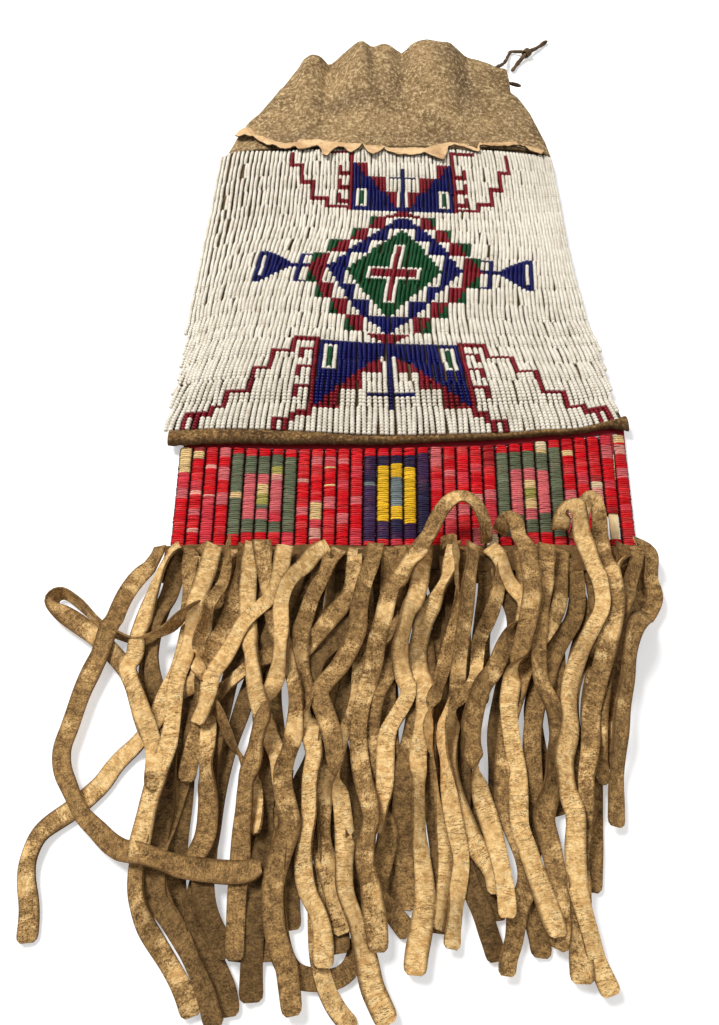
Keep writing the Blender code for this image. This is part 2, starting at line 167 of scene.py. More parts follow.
def blended(tree, amount, first, second, mode="MIX"):
    """Colour mix; a colour may be three numbers or a socket."""
    first, second = ((*c, 1) if isinstance(c, tuple) else c for c in (first, second))
    mix = add_node(tree, "ShaderNodeMix", {0: amount, 6: first, 7: second},
                   data_type="RGBA", blend_type=mode)
    return mix.outputs[2]


def remapped(tree, value, low, high, to_low=0.0, to_high=1.0):
    """A value from low to high, stretched to a new range and held at its ends."""
    made = add_node(tree, "ShaderNodeMapRange",
                    {"Value": value, "From Min": low, "From Max": high, "To Min": to_low,
                     "To Max": to_high}, clamp=True)
    return made.outputs["Result"]


def noise(tree, place, scale, detail=3.0, rough=0.55, bend=0.0):
    """Cloudy pattern between 0 and 1."""
    made = add_node(tree, "ShaderNodeTexNoise", {"Vector": place, "Scale": scale,
                                                 "Detail": detail, "Roughness": rough,
                                                 "Distortion": bend})
    return made.outputs["Fac"]


def object_place(tree):
    """Place on the object, in metres."""
    return add_node(tree, "ShaderNodeTexCoord").outputs["Object"]


def surfaced(tree, shader, colour, rough, gloss, height, strength, relief):
    """Give a shader its colour, roughness, gloss and fine relief."""
    tree.links.new(colour, shader.inputs["Base Color"])
    shader.inputs["Roughness"].default_value = rough
    shader.inputs["Specular IOR Level"].default_value = gloss
    bump = add_node(tree, "ShaderNodeBump", {"Height": height, "Strength": strength,
                                             "Distance": relief})
    tree.links.new(bump.outputs["Normal"], shader.inputs["Normal"])


suede, taken, given = new_group(
    "suede_nap",
    [("Place", VECTOR, None), ("Ground", COLOUR, (0.3, 0.2, 0.1, 1)),
     ("Dark", COLOUR, (0.1, 0.05, 0.02, 1)), ("Worn", COLOUR, (0.5, 0.4, 0.25, 1)),
     ("Patch size", FLOAT, 60.0), ("Nap size", FLOAT, 1500.0)],
    [("Colour", COLOUR), ("Height", FLOAT)])
patch = noise(suede, taken["Place"], taken["Patch size"], 4.0, 0.62, 0.6)
nap = noise(suede, taken["Place"], taken["Nap size"], 3.0, 0.7)
smudge = noise(suede, taken["Place"], maths(suede, "MULTIPLY", taken["Patch size"], 5.0),
               4.0, 0.6, 0.3)
tone = blended(suede, remapped(suede, patch, 0.34, 0.60), taken["Dark"], taken["Ground"])
tone = blended(suede, remapped(suede, smudge, 0.52, 0.74, 0.0, 0.8), tone, taken["Worn"])
tone = blended(suede, remapped(suede, nap, 0.30, 0.62, 0.55, 0.0), tone, taken["Dark"])
suede.links.new(tone, given.inputs["Colour"])
suede.links.new(maths(suede, "MULTIPLY_ADD", smudge, 0.5, nap), given.inputs["Height"])


def hide_material(name, ground, dark, worn, patch_size=45.0, nap_size=900.0, relief=0.00025,
                  soil_and_shade=None):
    """Napped hide of three tones; soiled(tree, place, colour) lays more over its colour."""
    finish, tree, shader = new_material(name)
    place = object_place(tree)
    nap = add_node(tree, "ShaderNodeGroup", node_tree=suede)
    for title, value in (("Ground", (*ground, 1)), ("Dark", (*dark, 1)), ("Worn", (*worn, 1)),
                         ("Patch size", patch_size), ("Nap size", nap_size)):
        nap.inputs[title].default_value = value
    tree.links.new(place, nap.inputs["Place"])
    colour = nap.outputs["Colour"]
    if soil_and_shade:
        colour = soil_and_shade(tree, place, colour)
    surfaced(tree, shader, colour, 0.93, 0.2, nap.outputs["Height"], 0.7, relief)
    return finish


smoked_hide = hide_material("smoked_hide", (0.21, 0.125, 0.055), (0.085, 0.045, 0.018),
                            (0.36, 0.24, 0.12))


# ---- Drawstring thong, its tail and the knot ---------------------------------------------
# A twisted strip of brown hide that leaves a hole in the right of the upper hide, runs round
# the mouth and ends in a stiff dark tail, tied on with a few turns of the same thong.

UP = np.array((0.0, 0.0, 1.0))


def smooth_route(points, step):
    """Even points along a smooth curve through rows of coordinates."""
    pts = np.asarray(points, float)
    pts = np.vstack([pts[:1], pts, pts[-1:]])
    fine = []
    for a, b, c, d in zip(pts, pts[1:], pts[2:], pts[3:]):
        for t in np.arange(12) / 12:
            fine.append(0.5 * (2 * b + (c - a) * t + (2 * a - 5 * b + 4 * c - d) * t * t
                               + (3 * b - a - 3 * c + d) * t ** 3))
    fine = np.array(fine + [pts[-1]])
    run = np.concatenate([[0], np.cumsum(np.linalg.norm(np.diff(fine, axis=0), axis=1))])
    want = np.linspace(0, run[-1], max(3, round(run[-1] / step) + 1))
    return np.stack([np.interp(want, run, fine[:, k]) for k in range(fine.shape[1])], 1)


def tube_faces(size, rings):
    """Faces of a closed tube of rings with size points each."""
    faces = [(r * size + k, r * size + (k + 1) % size, (r + 1) * size + (k + 1) % size,
              (r + 1) * size + k) for r in range(rings - 1) for k in range(size)]
    return faces + [tuple(reversed(range(size))),
                    tuple((rings - 1) * size + k for k in range(size))]


def swept(route, section, width, thickness, roll):
    """Rings of points: a section of (across, up) swept along a route, and its faces."""
    width, thickness, roll = (np.broadcast_to(v, len(route))[:, None]
                              for v in (width, thickness, roll))
    ahead = np.gradient(route, axis=0)
    ahead /= np.linalg.norm(ahead, axis=1, keepdims=True)
    side = np.cross(ahead, UP)
    side /= np.linalg.norm(side, axis=1, keepdims=True)
    lift = np.cross(side, ahead)
    a, b = section[:, 0] * width, section[:, 1] * thickness
    across, up = a * np.cos(roll) - b * np.sin(roll), a * np.sin(roll) + b * np.cos(roll)
    rings = (route[:, None] + across[:, :, None] * side[:, None]
             + up[:, :, None] * lift[:, None])
    return rings.reshape(-1, 3), tube_faces(len(section), len(route))


def round_section(sides, square):
    """Ring of points between a circle (1) and a square (0)."""
    turn = 2 * np.pi * (np.arange(sides) + 0.5) / sides
    c, s = np.cos(turn), np.sin(turn)
    return np.stack([np.sign(c) * np.abs(c) ** square, np.sign(s) * np.abs(s) ** square], 1)


THONG_ROUTE = [(80.2, 169.9, 11.3), (74, 171.5, 12.1), (68, 172.3, 12.2), (62.5, 173.6, 12.1),
               (59.5, 178, 12.2), (60.5, 184, 12.3), (65, 190, 11.3), (70, 198.5, 8.5),
               (73.8, 207, 5.5), (76.8, 215.5, 3.4), (79.3, 224.5, 1.6), (81.6, 229.8, 1.5),
               (85.0, 229.3, 1.9), (88.3, 226.7, 3.2)]
TAIL_ROUTE = [(80.1, 206.1, 1.5), (83, 212.5, 1.5), (86.8, 218.6, 2.1), (91, 224.6, 3.4),
              (98.5, 233.5, 2.0), (107, 244, 1.5)]
THONG_SIDES, THONG_STEP, THONG_FLATNESS = 12, 1.2, 0.36
KNOT_TURNS, KNOT_LENGTH, KNOT_RADIUS, KNOT_RINGS, KNOT_SIDES = 3.1, 4.0, 2.15, 96, 8
KNOT_THONG_WIDE, KNOT_THONG_THICK = 0.78, 0.62
thong_hide = hide_material("thong_hide", (0.16, 0.10, 0.05), (0.05, 0.028, 0.015),
                           (0.34, 0.25, 0.14), 160.0, 1800.0)


def twisted_cord(name, route, thickness, turns, ends):
    """Thong with a rounded rectangular section that twists; ends taper to the given share."""
    line = smooth_route(route, THONG_STEP)
    along = np.linspace(0, 1, len(line))
    taper = np.minimum(1, np.minimum(ends[0] + along * 14, ends[1] + (1 - along) * 14))
    taper = taper * (1 + 0.07 * np.sin(along * 37) + 0.05 * np.sin(along * 83 + 1))
    points, faces = swept(line, round_section(THONG_SIDES, 0.7), thickness / 2 * taper,
                          thickness * THONG_FLATNESS * taper, along * turns * 2 * np.pi)
    return mesh_piece(name, points, faces, thong_hide), [tuple(p) for p in line * MM]


def wound_knot():
    """Coil of thong round the joint of the drawstring and its tail."""
    before, middle, after = (np.array(p, float) for p in TAIL_ROUTE[2:5])
    axis = (after - before) * (1, 1, 0)
    axis /= np.linalg.norm(axis)
    share = np.arange(KNOT_RINGS)[:, None] / (KNOT_RINGS - 1)
    turn = 2 * np.pi * KNOT_TURNS * share
    coil = (middle + axis * (share - 0.5) * KNOT_LENGTH
            + (np.cross(axis, UP) * np.cos(turn) + UP * np.sin(turn)) * KNOT_RADIUS)
    ahead = np.gradient(coil, axis=0)
    ahead /= np.linalg.norm(ahead, axis=1, keepdims=True)
    outward = coil - middle - ((coil - middle) @ axis)[:, None] * axis
    outward /= np.linalg.norm(outward, axis=1, keepdims=True)
    beside = np.cross(ahead, outward)
    section = round_section(KNOT_SIDES, 0.8) * (KNOT_THONG_WIDE, KNOT_THONG_THICK)
    rings = (coil[:, None] + section[:, :1] * beside[:, None]
             + section[:, 1:] * outward[:, None])
    faces = [tuple(reversed(f)) for f in tube_faces(KNOT_SIDES, KNOT_RINGS)]
    return mesh_piece("drawstring_knot", rings.reshape(-1, 3), faces, thong_hide)


thong, thong_path = twisted_cord("drawstring", THONG_ROUTE, 2.2, 5.5, (0.6, 1.0))
tail, tail_path = twisted_cord("drawstring_tail", TAIL_ROUTE, 2.6, 1.5, (0.5, 0.45))
knot = wound_knot()
for piece, node in ((thong, "drawstring_thong"), (tail, "thong_tail"), (knot, "thong_knot")):
    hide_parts(node)
    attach(piece, "root")


# ---- Back and front hides of the beaded part ---------------------------------------------
# Two brown hides sewn along both sides. The back lies flat; the front is slack over what is
# left inside it, swells below the mouth and dips once across its middle.

BODY_TOP, HEM_LINE, TOP_WIDTH, HEM_WIDTH, HEM_RISE_LEFT = 103.5, -98.5, 185.0, 196.0, 4.2
SEAM_Y = BODY_TOP + 4.0
SIDE_HEIGHT, HEM_PUFF, BODY_PUFF, FRONT_THICK, BACK_TOP = 2.9, 2.5, 5.5, 1.2, 1.35
HEM_SLOPE, SWELL_FROM, DIP_FROM, DIP_LENGTH = 30, -60, 12, 78
EDGE_ROUND, UNDERSIDE, LINING_LOW = 0.25, 0.02, 1.65
# How far the right side of the sewn hides has drawn in, and how the hem rises to the right
RIGHT_DRAWN = [(-99, 0), (-87, 0.2), (-73, 2.2), (-58, 3.4), (-43, 3.7), (-27, 5.4), (-10, 4.8),
               (8, 5.1), (26, 5.0), (46, 3.8), (66, 3.0), (88, 2.3), (108, 1.2)]
HEM_RISE = [(0, 0), (30, 0.9), (43, 1.6), (52, 2.2), (61, 3.3), (70, 3.7), (75, 4.0), (80, 5.3),
            (84, 6.5), (90, 8.4), (98, 11)]


def smooth_step(t):
    """Smooth rise from 0 to 1."""
    t = np.clip(t, 0.0, 1.0)
    return t * t * (3 - 2 * t)


def read_off(values, table):
    """Values looked up between a table's pairs."""
    return np.interp(values, *zip(*table))


def side_width(x, y):
    """Half width of the sewn hides on the side where x lies."""
    share = (y - HEM_LINE) / (BODY_TOP - HEM_LINE)
    return ((HEM_WIDTH + (TOP_WIDTH - HEM_WIDTH) * share) / 2
            - np.where(x > 0, read_off(y, RIGHT_DRAWN), 0))


def hem_y(x):
    """Where the beaded part ends above the hem."""
    return HEM_LINE + np.where(x > 0, read_off(x, HEM_RISE),
                               HEM_RISE_LEFT * smooth_step(-1.3 * x / (HEM_WIDTH / 2)))


def crown(x, y):
    """How full the front hide stands, from 1 in the middle to 0 at its sides."""
    u = np.minimum(np.abs(x / side_width(x, y)), 1)
    return np.maximum(0.0, 1 - u ** 2.5) ** 0.55


def front_top(x, y):
    """Height of the front hide's outer face."""
    sag = np.where(y > DIP_FROM, 2 * np.cos(2 * np.pi * (y - DIP_FROM) / DIP_LENGTH) - 1,
                   smooth_step((y - SWELL_FROM) / (DIP_FROM - SWELL_FROM)))
    rise = HEM_PUFF + BODY_PUFF * smooth_step((y - hem_y(x)) / HEM_SLOPE) + sag
    return SIDE_HEIGHT + rise * crown(x, y)


def grid_faces(columns, rows, first=0):
    """Quads of a grid of points."""
    return [(first + r * columns + c, first + r * columns + c + 1,
             first + (r + 1) * columns + c + 1, first + (r + 1) * columns + c)
            for r in range(rows - 1) for c in range(columns - 1)]


def closed_sheet(upper, lower):
    """Points and faces of a sheet from two grids of points, rows x columns x 3."""
    rows, columns = upper.shape[:2]
    size = rows * columns
    faces = grid_faces(columns, rows)
    faces += [tuple(reversed(f)) for f in grid_faces(columns, rows, size)]
    rim = list(range(columns)) + [r * columns + columns - 1 for r in range(1, rows)]
    rim += [(rows - 1) * columns + c for c in reversed(range(columns - 1))]
    rim += [r * columns for r in reversed(range(1, rows - 1))]
    for a, b in zip(rim, rim[1:] + rim[:1]):
        faces.append((b, a, size + a, size + b))
    return np.concatenate([upper.reshape(-1, 3), lower.reshape(-1, 3)]), faces


def body_grid(columns, rows):
    """X and Y over the beaded part, closer together near both sides."""
    u, s = np.meshgrid(np.sin(np.pi * (np.linspace(0, 1, columns) - 0.5)),
                       np.linspace(0, 1, rows))
    low = hem_y(u * HEM_WIDTH / 2)
    y = low + (SEAM_Y - low) * s
    return u * side_width(u, y), y


def worn_height(x, y, size, amount, seed):
    """Slow unevenness of a hide, in millimetres."""
    return amount * (np.sin(x / size + seed) * np.sin(y / (size * 1.3) + 2 * seed)
                     + 0.5 * np.sin((x + y) / (size * 0.47) + seed * 3))


x, y = body_grid(73, 61)
edge = 1 - crown(x, y)
rounding = EDGE_ROUND * edge ** 3
top_z = BACK_TOP + worn_height(x, y, 9, 0.05, 1.0) - rounding
points, faces = closed_sheet(np.stack([x, y, top_z], 2),
                             np.stack([x * (1 - 0.002 * edge), y, UNDERSIDE + rounding], 2))
back = mesh_piece("back_hide_cloth", points, faces, smoked_hide)

top_z = front_top(x, np.minimum(y, BODY_TOP))
points, faces = closed_sheet(np.stack([x, y, top_z], 2),
                             np.stack([x, y, np.maximum(top_z - FRONT_THICK, LINING_LOW)], 2))
# Darker than the smoked hide, partly as painted shade where it shows in the gaps between the beads
beaded_hide_gap_shade = hide_material("beaded_hide_gap_shade", (0.16, 0.105, 0.052), (0.07, 0.042, 0.018),
                            (0.27, 0.185, 0.10))
front = mesh_piece("front_hide_cloth", points, faces, beaded_hide_gap_shade)
for piece, node in ((back, "back_hide"), (front, "front_hide")):
    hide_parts(node)
    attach(piece, "root")


# ---- Beads in lane stitch ----------------------------------------------------------------
# Glass seed beads strung on thread and sewn down in eighteen lanes across the hide. Each lane
# holds short strings side by side, sewn down only at both ends, so that they arch between.
# The old geometric figures are mirrored about the middle string, as the real ones are.

LANE_EDGES = [0, 1.28, 2.33, 3.25, 4.26, 5.0, 6.03, 7.07, 8.01, 8.98, 9.91, 10.93, 11.85,
              12.76, 13.36, 14.34, 15.34, 16.4, 17.57]
LANE_BEADS = [10, 8, 7, 8, 6, 8, 8, 8, 8, 7, 8, 7, 7, 5, 8, 8, 8, 9]
STRINGS, MIDDLE, HALF_STRINGS = 91, 45, 45.5
WHITE, RED, BLUE, GREEN = range(4)
BEAD_ROWS = sum(LANE_BEADS)
figure = np.zeros((BEAD_ROWS, STRINGS), int)


def one_side(colour, side, near, far, top, bottom):
    """Fill strings near to far on one side of the middle: 1 is right, -1 is left."""
    first, last = sorted((MIDDLE + side * near, MIDDLE + side * far))
    figure[top:bottom + 1, first:last + 1] = colour


def both(colour, near, far, top, bottom):
    """Fill strings near to far on both sides of the middle, from bead top to bottom."""
    if round(far) >= round(near):
        for side in (1, -1):
            one_side(colour, side, round(near), round(far), top, bottom)


def wedge(colour, top, bottom, near_top, far_top, near_low, far_low):
    """Fill between two slanting sides."""
    for row in range(top, bottom + 1):
        t = (row - top) / max(bottom - top, 1)
        both(colour, near_top + (near_low - near_top) * t, far_top + (far_low - far_top) * t,
             row, row)


def tents():
    """Upper and lower tents with stepped lines that climb to both sides."""
    both(BLUE, 0, 13, 33, 35)
    for top, near, far_top, far_low in ((11, 10, 12, 10), (18, 5, 8, 6), (25, 2, 4, 2)):
        bottom = top + (7 if top == 25 else 6)
        wedge(BLUE, top, bottom, far_top, 13, far_low, 13)
        wedge(RED, top, bottom, near, far_top, near, far_low)
    both(WHITE, 10, 12, 24, 32)
    both(GREEN, 11, 11, 25, 31)
    both(WHITE, 1, 1, 24, 32)
    both(RED, 14, 14, 3, 35)
    both(RED, 14, 20, 3, 4)
    for top in (13, 20, 27):
        both(RED, 17, 17, top, top + 4)
        both(RED, 15, 17, top + 3, top + 4)
    both(RED, 15, 20, 33, 34)
    both(RED, 20, 20, 30, 34)
    for start, end, bar, up in ((20, 24, 29, 21), (24, 27, 21, 12), (27, 30, 12, 3)):
        both(RED, start, end, bar, bar + 1)
        both(RED, end, end, up, bar + 1)
    both(BLUE, 0, 14, 105, 111)
    for top, bottom, near, far in ((112, 117, 2, 6), (118, 123, 6, 10), (124, 129, 10, 14)):
        wedge(BLUE, top, bottom, near + 1, 14, far, 14)
        wedge(RED, top, bottom, near, near, near, far)
    both(WHITE, 1, 1, 111, 117)
    both(WHITE, 11, 13, 107, 116)
    both(GREEN, 12, 12, 108, 115)
    both(RED, 15, 15, 104, 132)
    for top, leg_low in ((109, 112), (116, 119), (123, 126)):
        both(RED, 16, 18, top, top)
        both(RED, 18, 18, top, leg_low)
    both(RED, 15, 20, 104, 105)
    for side, starts in ((1, (20, 25, 29, 33, 36, 38)), (-1, (20, 24, 27, 31, 33, 35))):
        for step in range(5):
            start, bar = starts[step], (110, 117, 125, 130, 132)[step]
            one_side(RED, side, start, start, (104, 110, 117, 125, 130)[step], bar)
            one_side(RED, side, start, starts[step + 1], bar, bar + (bar > 130))
        one_side(RED, side, starts[5], starts[5] + 2, 132, 137)
        one_side(WHITE, side, starts[5] + 1, starts[5] + 1, 134, 137)
    both(RED, 16, 17, 131, 132)
    for side, near in ((1, 18), (-1, 19)):
        one_side(RED, side, near - 1, near - 1, 132, 134)
        one_side(RED, side, near, near + 2, 134, 137)
        one_side(WHITE, side, near + 1, near + 1, 135, 137)


def crosses():
    """Thin blue crosses above and below, and the triangles with crosses at the sides."""
    both(BLUE, 0, 0, 14, 34)
    both(BLUE, 0, 3, 18, 18)
    both(BLUE, 0, 0, 105, 129)
    both(BLUE, 0, 4, 125, 125)
    wedge(BLUE, 63, 70, 32, 33, 25, 33)
    wedge(BLUE, 71, 78, 25, 33, 32, 33)
    both(WHITE, 32, 32, 66, 75)
    both(BLUE, 33, 33, 63, 78)
    both(BLUE, 21, 25, 70, 71)
    both(BLUE, 23, 23, 65, 78)
    both(BLUE, 21, 22, 65, 65)
    both(BLUE, 21, 22, 78, 78)


def diamond():
    """Green diamond with a cross, a blue band round it and a ring of red and green blocks."""
    wedge(RED, 36, 38, 0, 1, 0, 4)
    both(RED, 3, 4, 38, 39)
    wedge(RED, 101, 104, 0, 4, 0, 1)
    for near, top in ((5, 39), (9, 47), (13, 55)):
        both(GREEN, near, near + 3 + (near == 13), top, top + 7)
        wedge(RED, top, top + 7, near, near + 1, near, near + 3)
    both(GREEN, 17, 20, 64, 78)
    wedge(RED, 64, 71, 17, 17, 17, 21)
    wedge(RED, 71, 78, 17, 21, 17, 17)
    for near, top in ((14, 79), (10, 86), (6, 93)):
        both(GREEN, near, near + 3, top, top + 6)
        wedge(RED, top, top + 6, near, near + 3, near, near + 1)
    for step in ((40, 46, 0, 1, 0, 4), (47, 54, 4, 5, 4, 8), (55, 62, 8, 9, 8, 12),
                 (63, 71, 12, 12, 12, 16), (71, 78, 12, 16, 12, 12), (79, 85, 9, 12, 9, 9),
                 (86, 92, 5, 9, 5, 6), (93, 100, 0, 5, 0, 0)):
        wedge(BLUE, *step)
    wedge(GREEN, 48, 72, 0, 0, 0, 11)
    wedge(GREEN, 72, 92, 0, 11, 0, 0)
    both(WHITE, 0, 1, 58, 86)
    both(WHITE, 0, 6, 70, 75)
    both(RED, 0, 0, 59, 85)
    both(RED, 0, 5, 71, 74)


tents()
crosses()
diamond()
lane_start = np.concatenate([[0], np.cumsum(LANE_BEADS)])
lane_of = np.repeat(np.arange(len(LANE_BEADS)), LANE_BEADS)
seat = (np.arange(BEAD_ROWS) + 0.5 - lane_start[lane_of]) / np.array(LANE_BEADS)[lane_of]
lane_edges = np.array(LANE_EDGES) / LANE_EDGES[-1]
share = lane_edges[lane_of] + (lane_edges[lane_of + 1] - lane_edges[lane_of]) * seat

# How far the outer strings spread past an even spacing, along the left and the right side
LEFT_SPREAD = [(-99, -3.3), (-70, -3.2), (-68.5, 1.0), (-43, 0.3), (-20, -1.2), (0, -1.3),
               (36, -1.9), (99, -2.6)]
RIGHT_SPREAD = [(-99, 0.2), (-90, -0.2), (-80, -1.2), (-65, -1.0), (-43, -0.4), (-20, -1.6),
                (0, -2.2), (36, -1.2), (66, 1.0), (99, 2.6)]
# How much wider the strings stand apart towards the hem, where there are fewer of them
SPLAY = [(-99, 0.155), (-90, 0.145), (-45, 0.024), (-30, 0)]
BEAD_LIFT, ARCH, STRAYED_SHARE = 0.80, 0.62, 0.16
# Half width of the strings at the hem, how it lessens upwards, and how the lanes lie askew
HALF_AT_HEM, NARROWING, DRAWN_IN = 96.5, 0.0371, 0.992
TILT, LEFT_CORNER, RIGHT_CORNER = 0.055, 5, 2.5


def string_place(string, share):
    """X and Y of a place on a string, and its share of the half width; the share of the way
    runs from 0 at the top lane to 1 at the hem."""
    x = np.zeros_like(string)
    tilt = TILT * smooth_step(share / 0.06) * (1 - smooth_step((share - 0.74) / 0.16))
    even = string / HALF_STRINGS
    u, inside = even, np.clip(even, -1, 1)
    corner = (LEFT_CORNER * smooth_step((-u - 0.72) / 0.28)
              + RIGHT_CORNER * smooth_step((u - 0.8) / 0.2))
    for _ in range(5):
        y = BODY_TOP - share * (BODY_TOP - hem_y(x)) - tilt * x * (1 - inside ** 6)
        splay = read_off(y, SPLAY)
        u = even * (1 + splay * (1 - 0.25 * smooth_step((even - 0.33) / 0.4)))
        inside = np.clip(u, -1, 1)
        drift = 0.65 + 2.75 * np.tanh((y - 5) / 32) + 6 * splay
        half = HALF_AT_HEM - NARROWING * (y - HEM_LINE)
        x = half * (u + drift / HALF_STRINGS * (1 - inside ** 4)) * DRAWN_IN
        spread = np.where(u < 0, read_off(y, LEFT_SPREAD), read_off(y, RIGHT_SPREAD))
        x = x + spread * inside ** 6
    return x, y + corner * (1 - smooth_step(share / 0.22)), u


random = np.random.default_rng(7)
# Two more strings stand at the left edge, past the even spacing
figure = np.pad(figure, ((0, 0), (2, 0)))
string, row = np.meshgrid(np.arange(STRINGS + 2) - (MIDDLE + 2.0), np.arange(BEAD_ROWS))
lane, seat, share = lane_of[row], seat[row], share[row]
strings_of_lanes = (len(LANE_BEADS), STRINGS + 2)
strayed = random.random(strings_of_lanes) < STRAYED_SHARE
string_wander = random.normal(0, 1, strings_of_lanes) * np.where(strayed, 0.19, 0.07)
lean = random.normal(0, 1, strings_of_lanes) * np.where(strayed, 0.28, 0.13)
slack = random.normal(0, 0.07, strings_of_lanes)[lane_of]
shifted = string + (string_wander[lane_of] + lean[lane_of] * (seat - 0.5)) * 0.9
bead_x, bead_y, outward = string_place(shifted, share)
ahead_x, ahead_y, _ = string_place(shifted, share + 0.004)
bead_y = bead_y + (seat - 0.5) * slack * 1.2
bead_z = (front_top(bead_x, bead_y) + BEAD_LIFT
          + (ARCH + slack) * np.sin(np.pi * np.clip(seat, 0.02, 0.98)) ** 0.7)
girth = (1 - 0.0002 * (bead_y - HEM_LINE)) * (0.985 - 0.08 * np.abs(2 * seat - 1) ** 3)
girth = girth * (1 + 0.75 * read_off(bead_y, SPLAY))
on_hide = (outward < 1.012) & (outward > np.where(lane < 16, -1.045, -1.012))
run = np.maximum(np.hypot(np.gradient(bead_x, axis=0), np.gradient(bead_y, axis=0)), 0.5)
heading = np.stack([ahead_x - bead_x, ahead_y - bead_y, np.zeros_like(bead_x)], 2)
heading /= np.linalg.norm(heading, axis=2, keepdims=True)
heading[:, :, 2] = np.clip(np.gradient(bead_z, axis=0) / run, -0.5, 0.5)


def new_grower(name, sizes, seed):
    """Geometry Nodes tree that takes points, named sizes, a seed and a finish."""
    tree = bpy.data.node_groups.new(name, "GeometryNodeTree")
    for title, kind, value in ([("Geometry", "Geometry", None)]
                               + [(k, "Float", v) for k, v in sizes.items()]
                               + [("Seed", "Int", seed), ("Finish", "Material", None)]):
        socket = tree.interface.new_socket(title, in_out="INPUT", socket_type="NodeSocket" + kind)
        if value is not None:
            socket.default_value = value
    tree.interface.new_socket("Geometry", in_out="OUTPUT", socket_type="NodeSocketGeometry")
    return tree, tree.nodes.new("NodeGroupInput").outputs


def varied(tree, given, low, high):
    """Three numbers that differ from point to point."""
    return add_node(tree, "FunctionNodeRandomValue", {"Min": low, "Max": high,
                                                      "Seed": given["Seed"]},
                    data_type="FLOAT_VECTOR").outputs[0]


def grown(tree, given, shape, turn, size):
    """End a tree: the shape on every point, made real and given its finish."""
    placed = add_node(tree, "GeometryNodeInstanceOnPoints",
                      {"Points": given["Geometry"], "Instance": shape, "Rotation": turn,
                       "Scale": size})
    real = add_node(tree, "GeometryNodeRealizeInstances", {0: placed.outputs[0]})
    dressed = add_node(tree, "GeometryNodeSetMaterial", {"Geometry": real.outputs[0],
                                                         "Material": given["Finish"]})
    tree.links.new(dressed.outputs[0], tree.nodes.new("NodeGroupOutput").inputs[0])
    return tree


def along_axis(tree, place, axis):
    """One coordinate of a place."""
    return add_node(tree, "ShaderNodeSeparateXYZ", {0: place}).outputs[axis]


def bead_tree():
    """Barrel beads on points, each turned along its string and a little unlike the next."""
    tree, given = new_grower("strung_beads", {"Bead radius": 0.00108, "Bead length": 0.00145}, 3)
    barrel = add_node(tree, "GeometryNodeMeshCylinder",
                      {"Vertices": 8, "Side Segments": 2, "Radius": given["Bead radius"],
                       "Depth": given["Bead length"]}, fill_type="NGON")
    here = tree.nodes.new("GeometryNodeInputPosition").outputs[0]
    along = maths(tree, "DIVIDE", along_axis(tree, here, "Z"), given["Bead length"])
    swell = maths(tree, "MULTIPLY_ADD", maths(tree, "MULTIPLY", along, along), -1.25, 1.0)
    shape = add_node(tree, "ShaderNodeCombineXYZ", {"X": swell, "Y": swell, "Z": 1.0})
    barrelled = add_node(tree, "ShaderNodeVectorMath", {0: here, 1: shape.outputs[0]},
                         operation="MULTIPLY")
    moved = add_node(tree, "GeometryNodeSetPosition", {"Geometry": barrel.outputs["Mesh"],
                                                       "Position": barrelled.outputs[0]})
    smooth = add_node(tree, "GeometryNodeSetShadeSmooth", {"Geometry": moved.outputs[0]})
    heading, girth = (add_node(tree, "GeometryNodeInputNamedAttribute", {"Name": title},
                               data_type=kind).outputs[0]
                      for title, kind in (("heading", "FLOAT_VECTOR"), ("girth", "FLOAT")))
    turned = add_node(tree, "FunctionNodeAlignRotationToVector", {"Vector": heading}, axis="Z")
    fitted = add_node(tree, "ShaderNodeCombineXYZ", {"X": girth, "Y": girth, "Z": 1.0})
    sized = add_node(tree, "ShaderNodeVectorMath", {
        0: varied(tree, given, (0.95, 0.95, 0.90), (1.03, 1.03, 1.1)), 1: fitted.outputs[0]},
        operation="MULTIPLY")
    return grown(tree, given, smooth.outputs[0], turned.outputs[0], sized.outputs[0])


def add_marks(mesh, domain="POINT", **marks):
    """Store numbers or vectors on a mesh, one for each point or face."""
    for title, data in marks.items():
        data = np.asarray(data, float)
        vector = data.ndim == 2
        made = mesh.attributes.new(title, "FLOAT_VECTOR" if vector else "FLOAT", domain)
        made.data.foreach_set("vector" if vector else "value", data.ravel())


def run_tree(name, tree, points, marks, finish, seed=None):
    """Plain mesh piece that a Geometry Nodes tree makes from points in millimetres."""
    mesh = bpy.data.meshes.new(name)
    mesh.from_pydata((np.asarray(points) * MM).tolist(), [], [])
    add_marks(mesh, **marks)
    made = bpy.data.objects.new(name, mesh)
    scene.collection.objects.link(made)
    build = made.modifiers.new("build", "NODES")
    build.node_group = tree
    sockets = {s.name: s.identifier for s in tree.interface.items_tree if s.in_out == "INPUT"}
    build[sockets["Finish"]] = finish
    if seed is not None:
        build[sockets["Seed"]] = seed
    scene.view_layers[0].update()
    whole = made.evaluated_get(bpy.context.evaluated_depsgraph_get())
    result = bpy.data.meshes.new_from_object(whole)
    made.modifiers.remove(build)
    made.data = result
    result.name = name
    return made


def mark(tree, title, kind="Fac"):
    """A mesh's own attribute."""
    return add_node(tree, "ShaderNodeAttribute", attribute_name=title).outputs[kind]


def bead_material(name, colour, deep, roughness):
    """Glass of one colour whose beads differ a little, soiled in patches."""
    finish, tree, shader = new_material(name)
    place = object_place(tree)
    soil = remapped(tree, noise(tree, place, 70.0, 4.0, 0.7), 0.5, 0.72, 0.0, 0.25)
    mixed = blended(tree, mark(tree, "tone"), colour, deep)
    mixed = blended(tree, soil, mixed, (0.42, 0.33, 0.22), "MULTIPLY")
    surfaced(tree, shader, mixed, roughness, 0.25, noise(tree, place, 2600.0, 2.0), 0.25, 0.00006)
    return finish


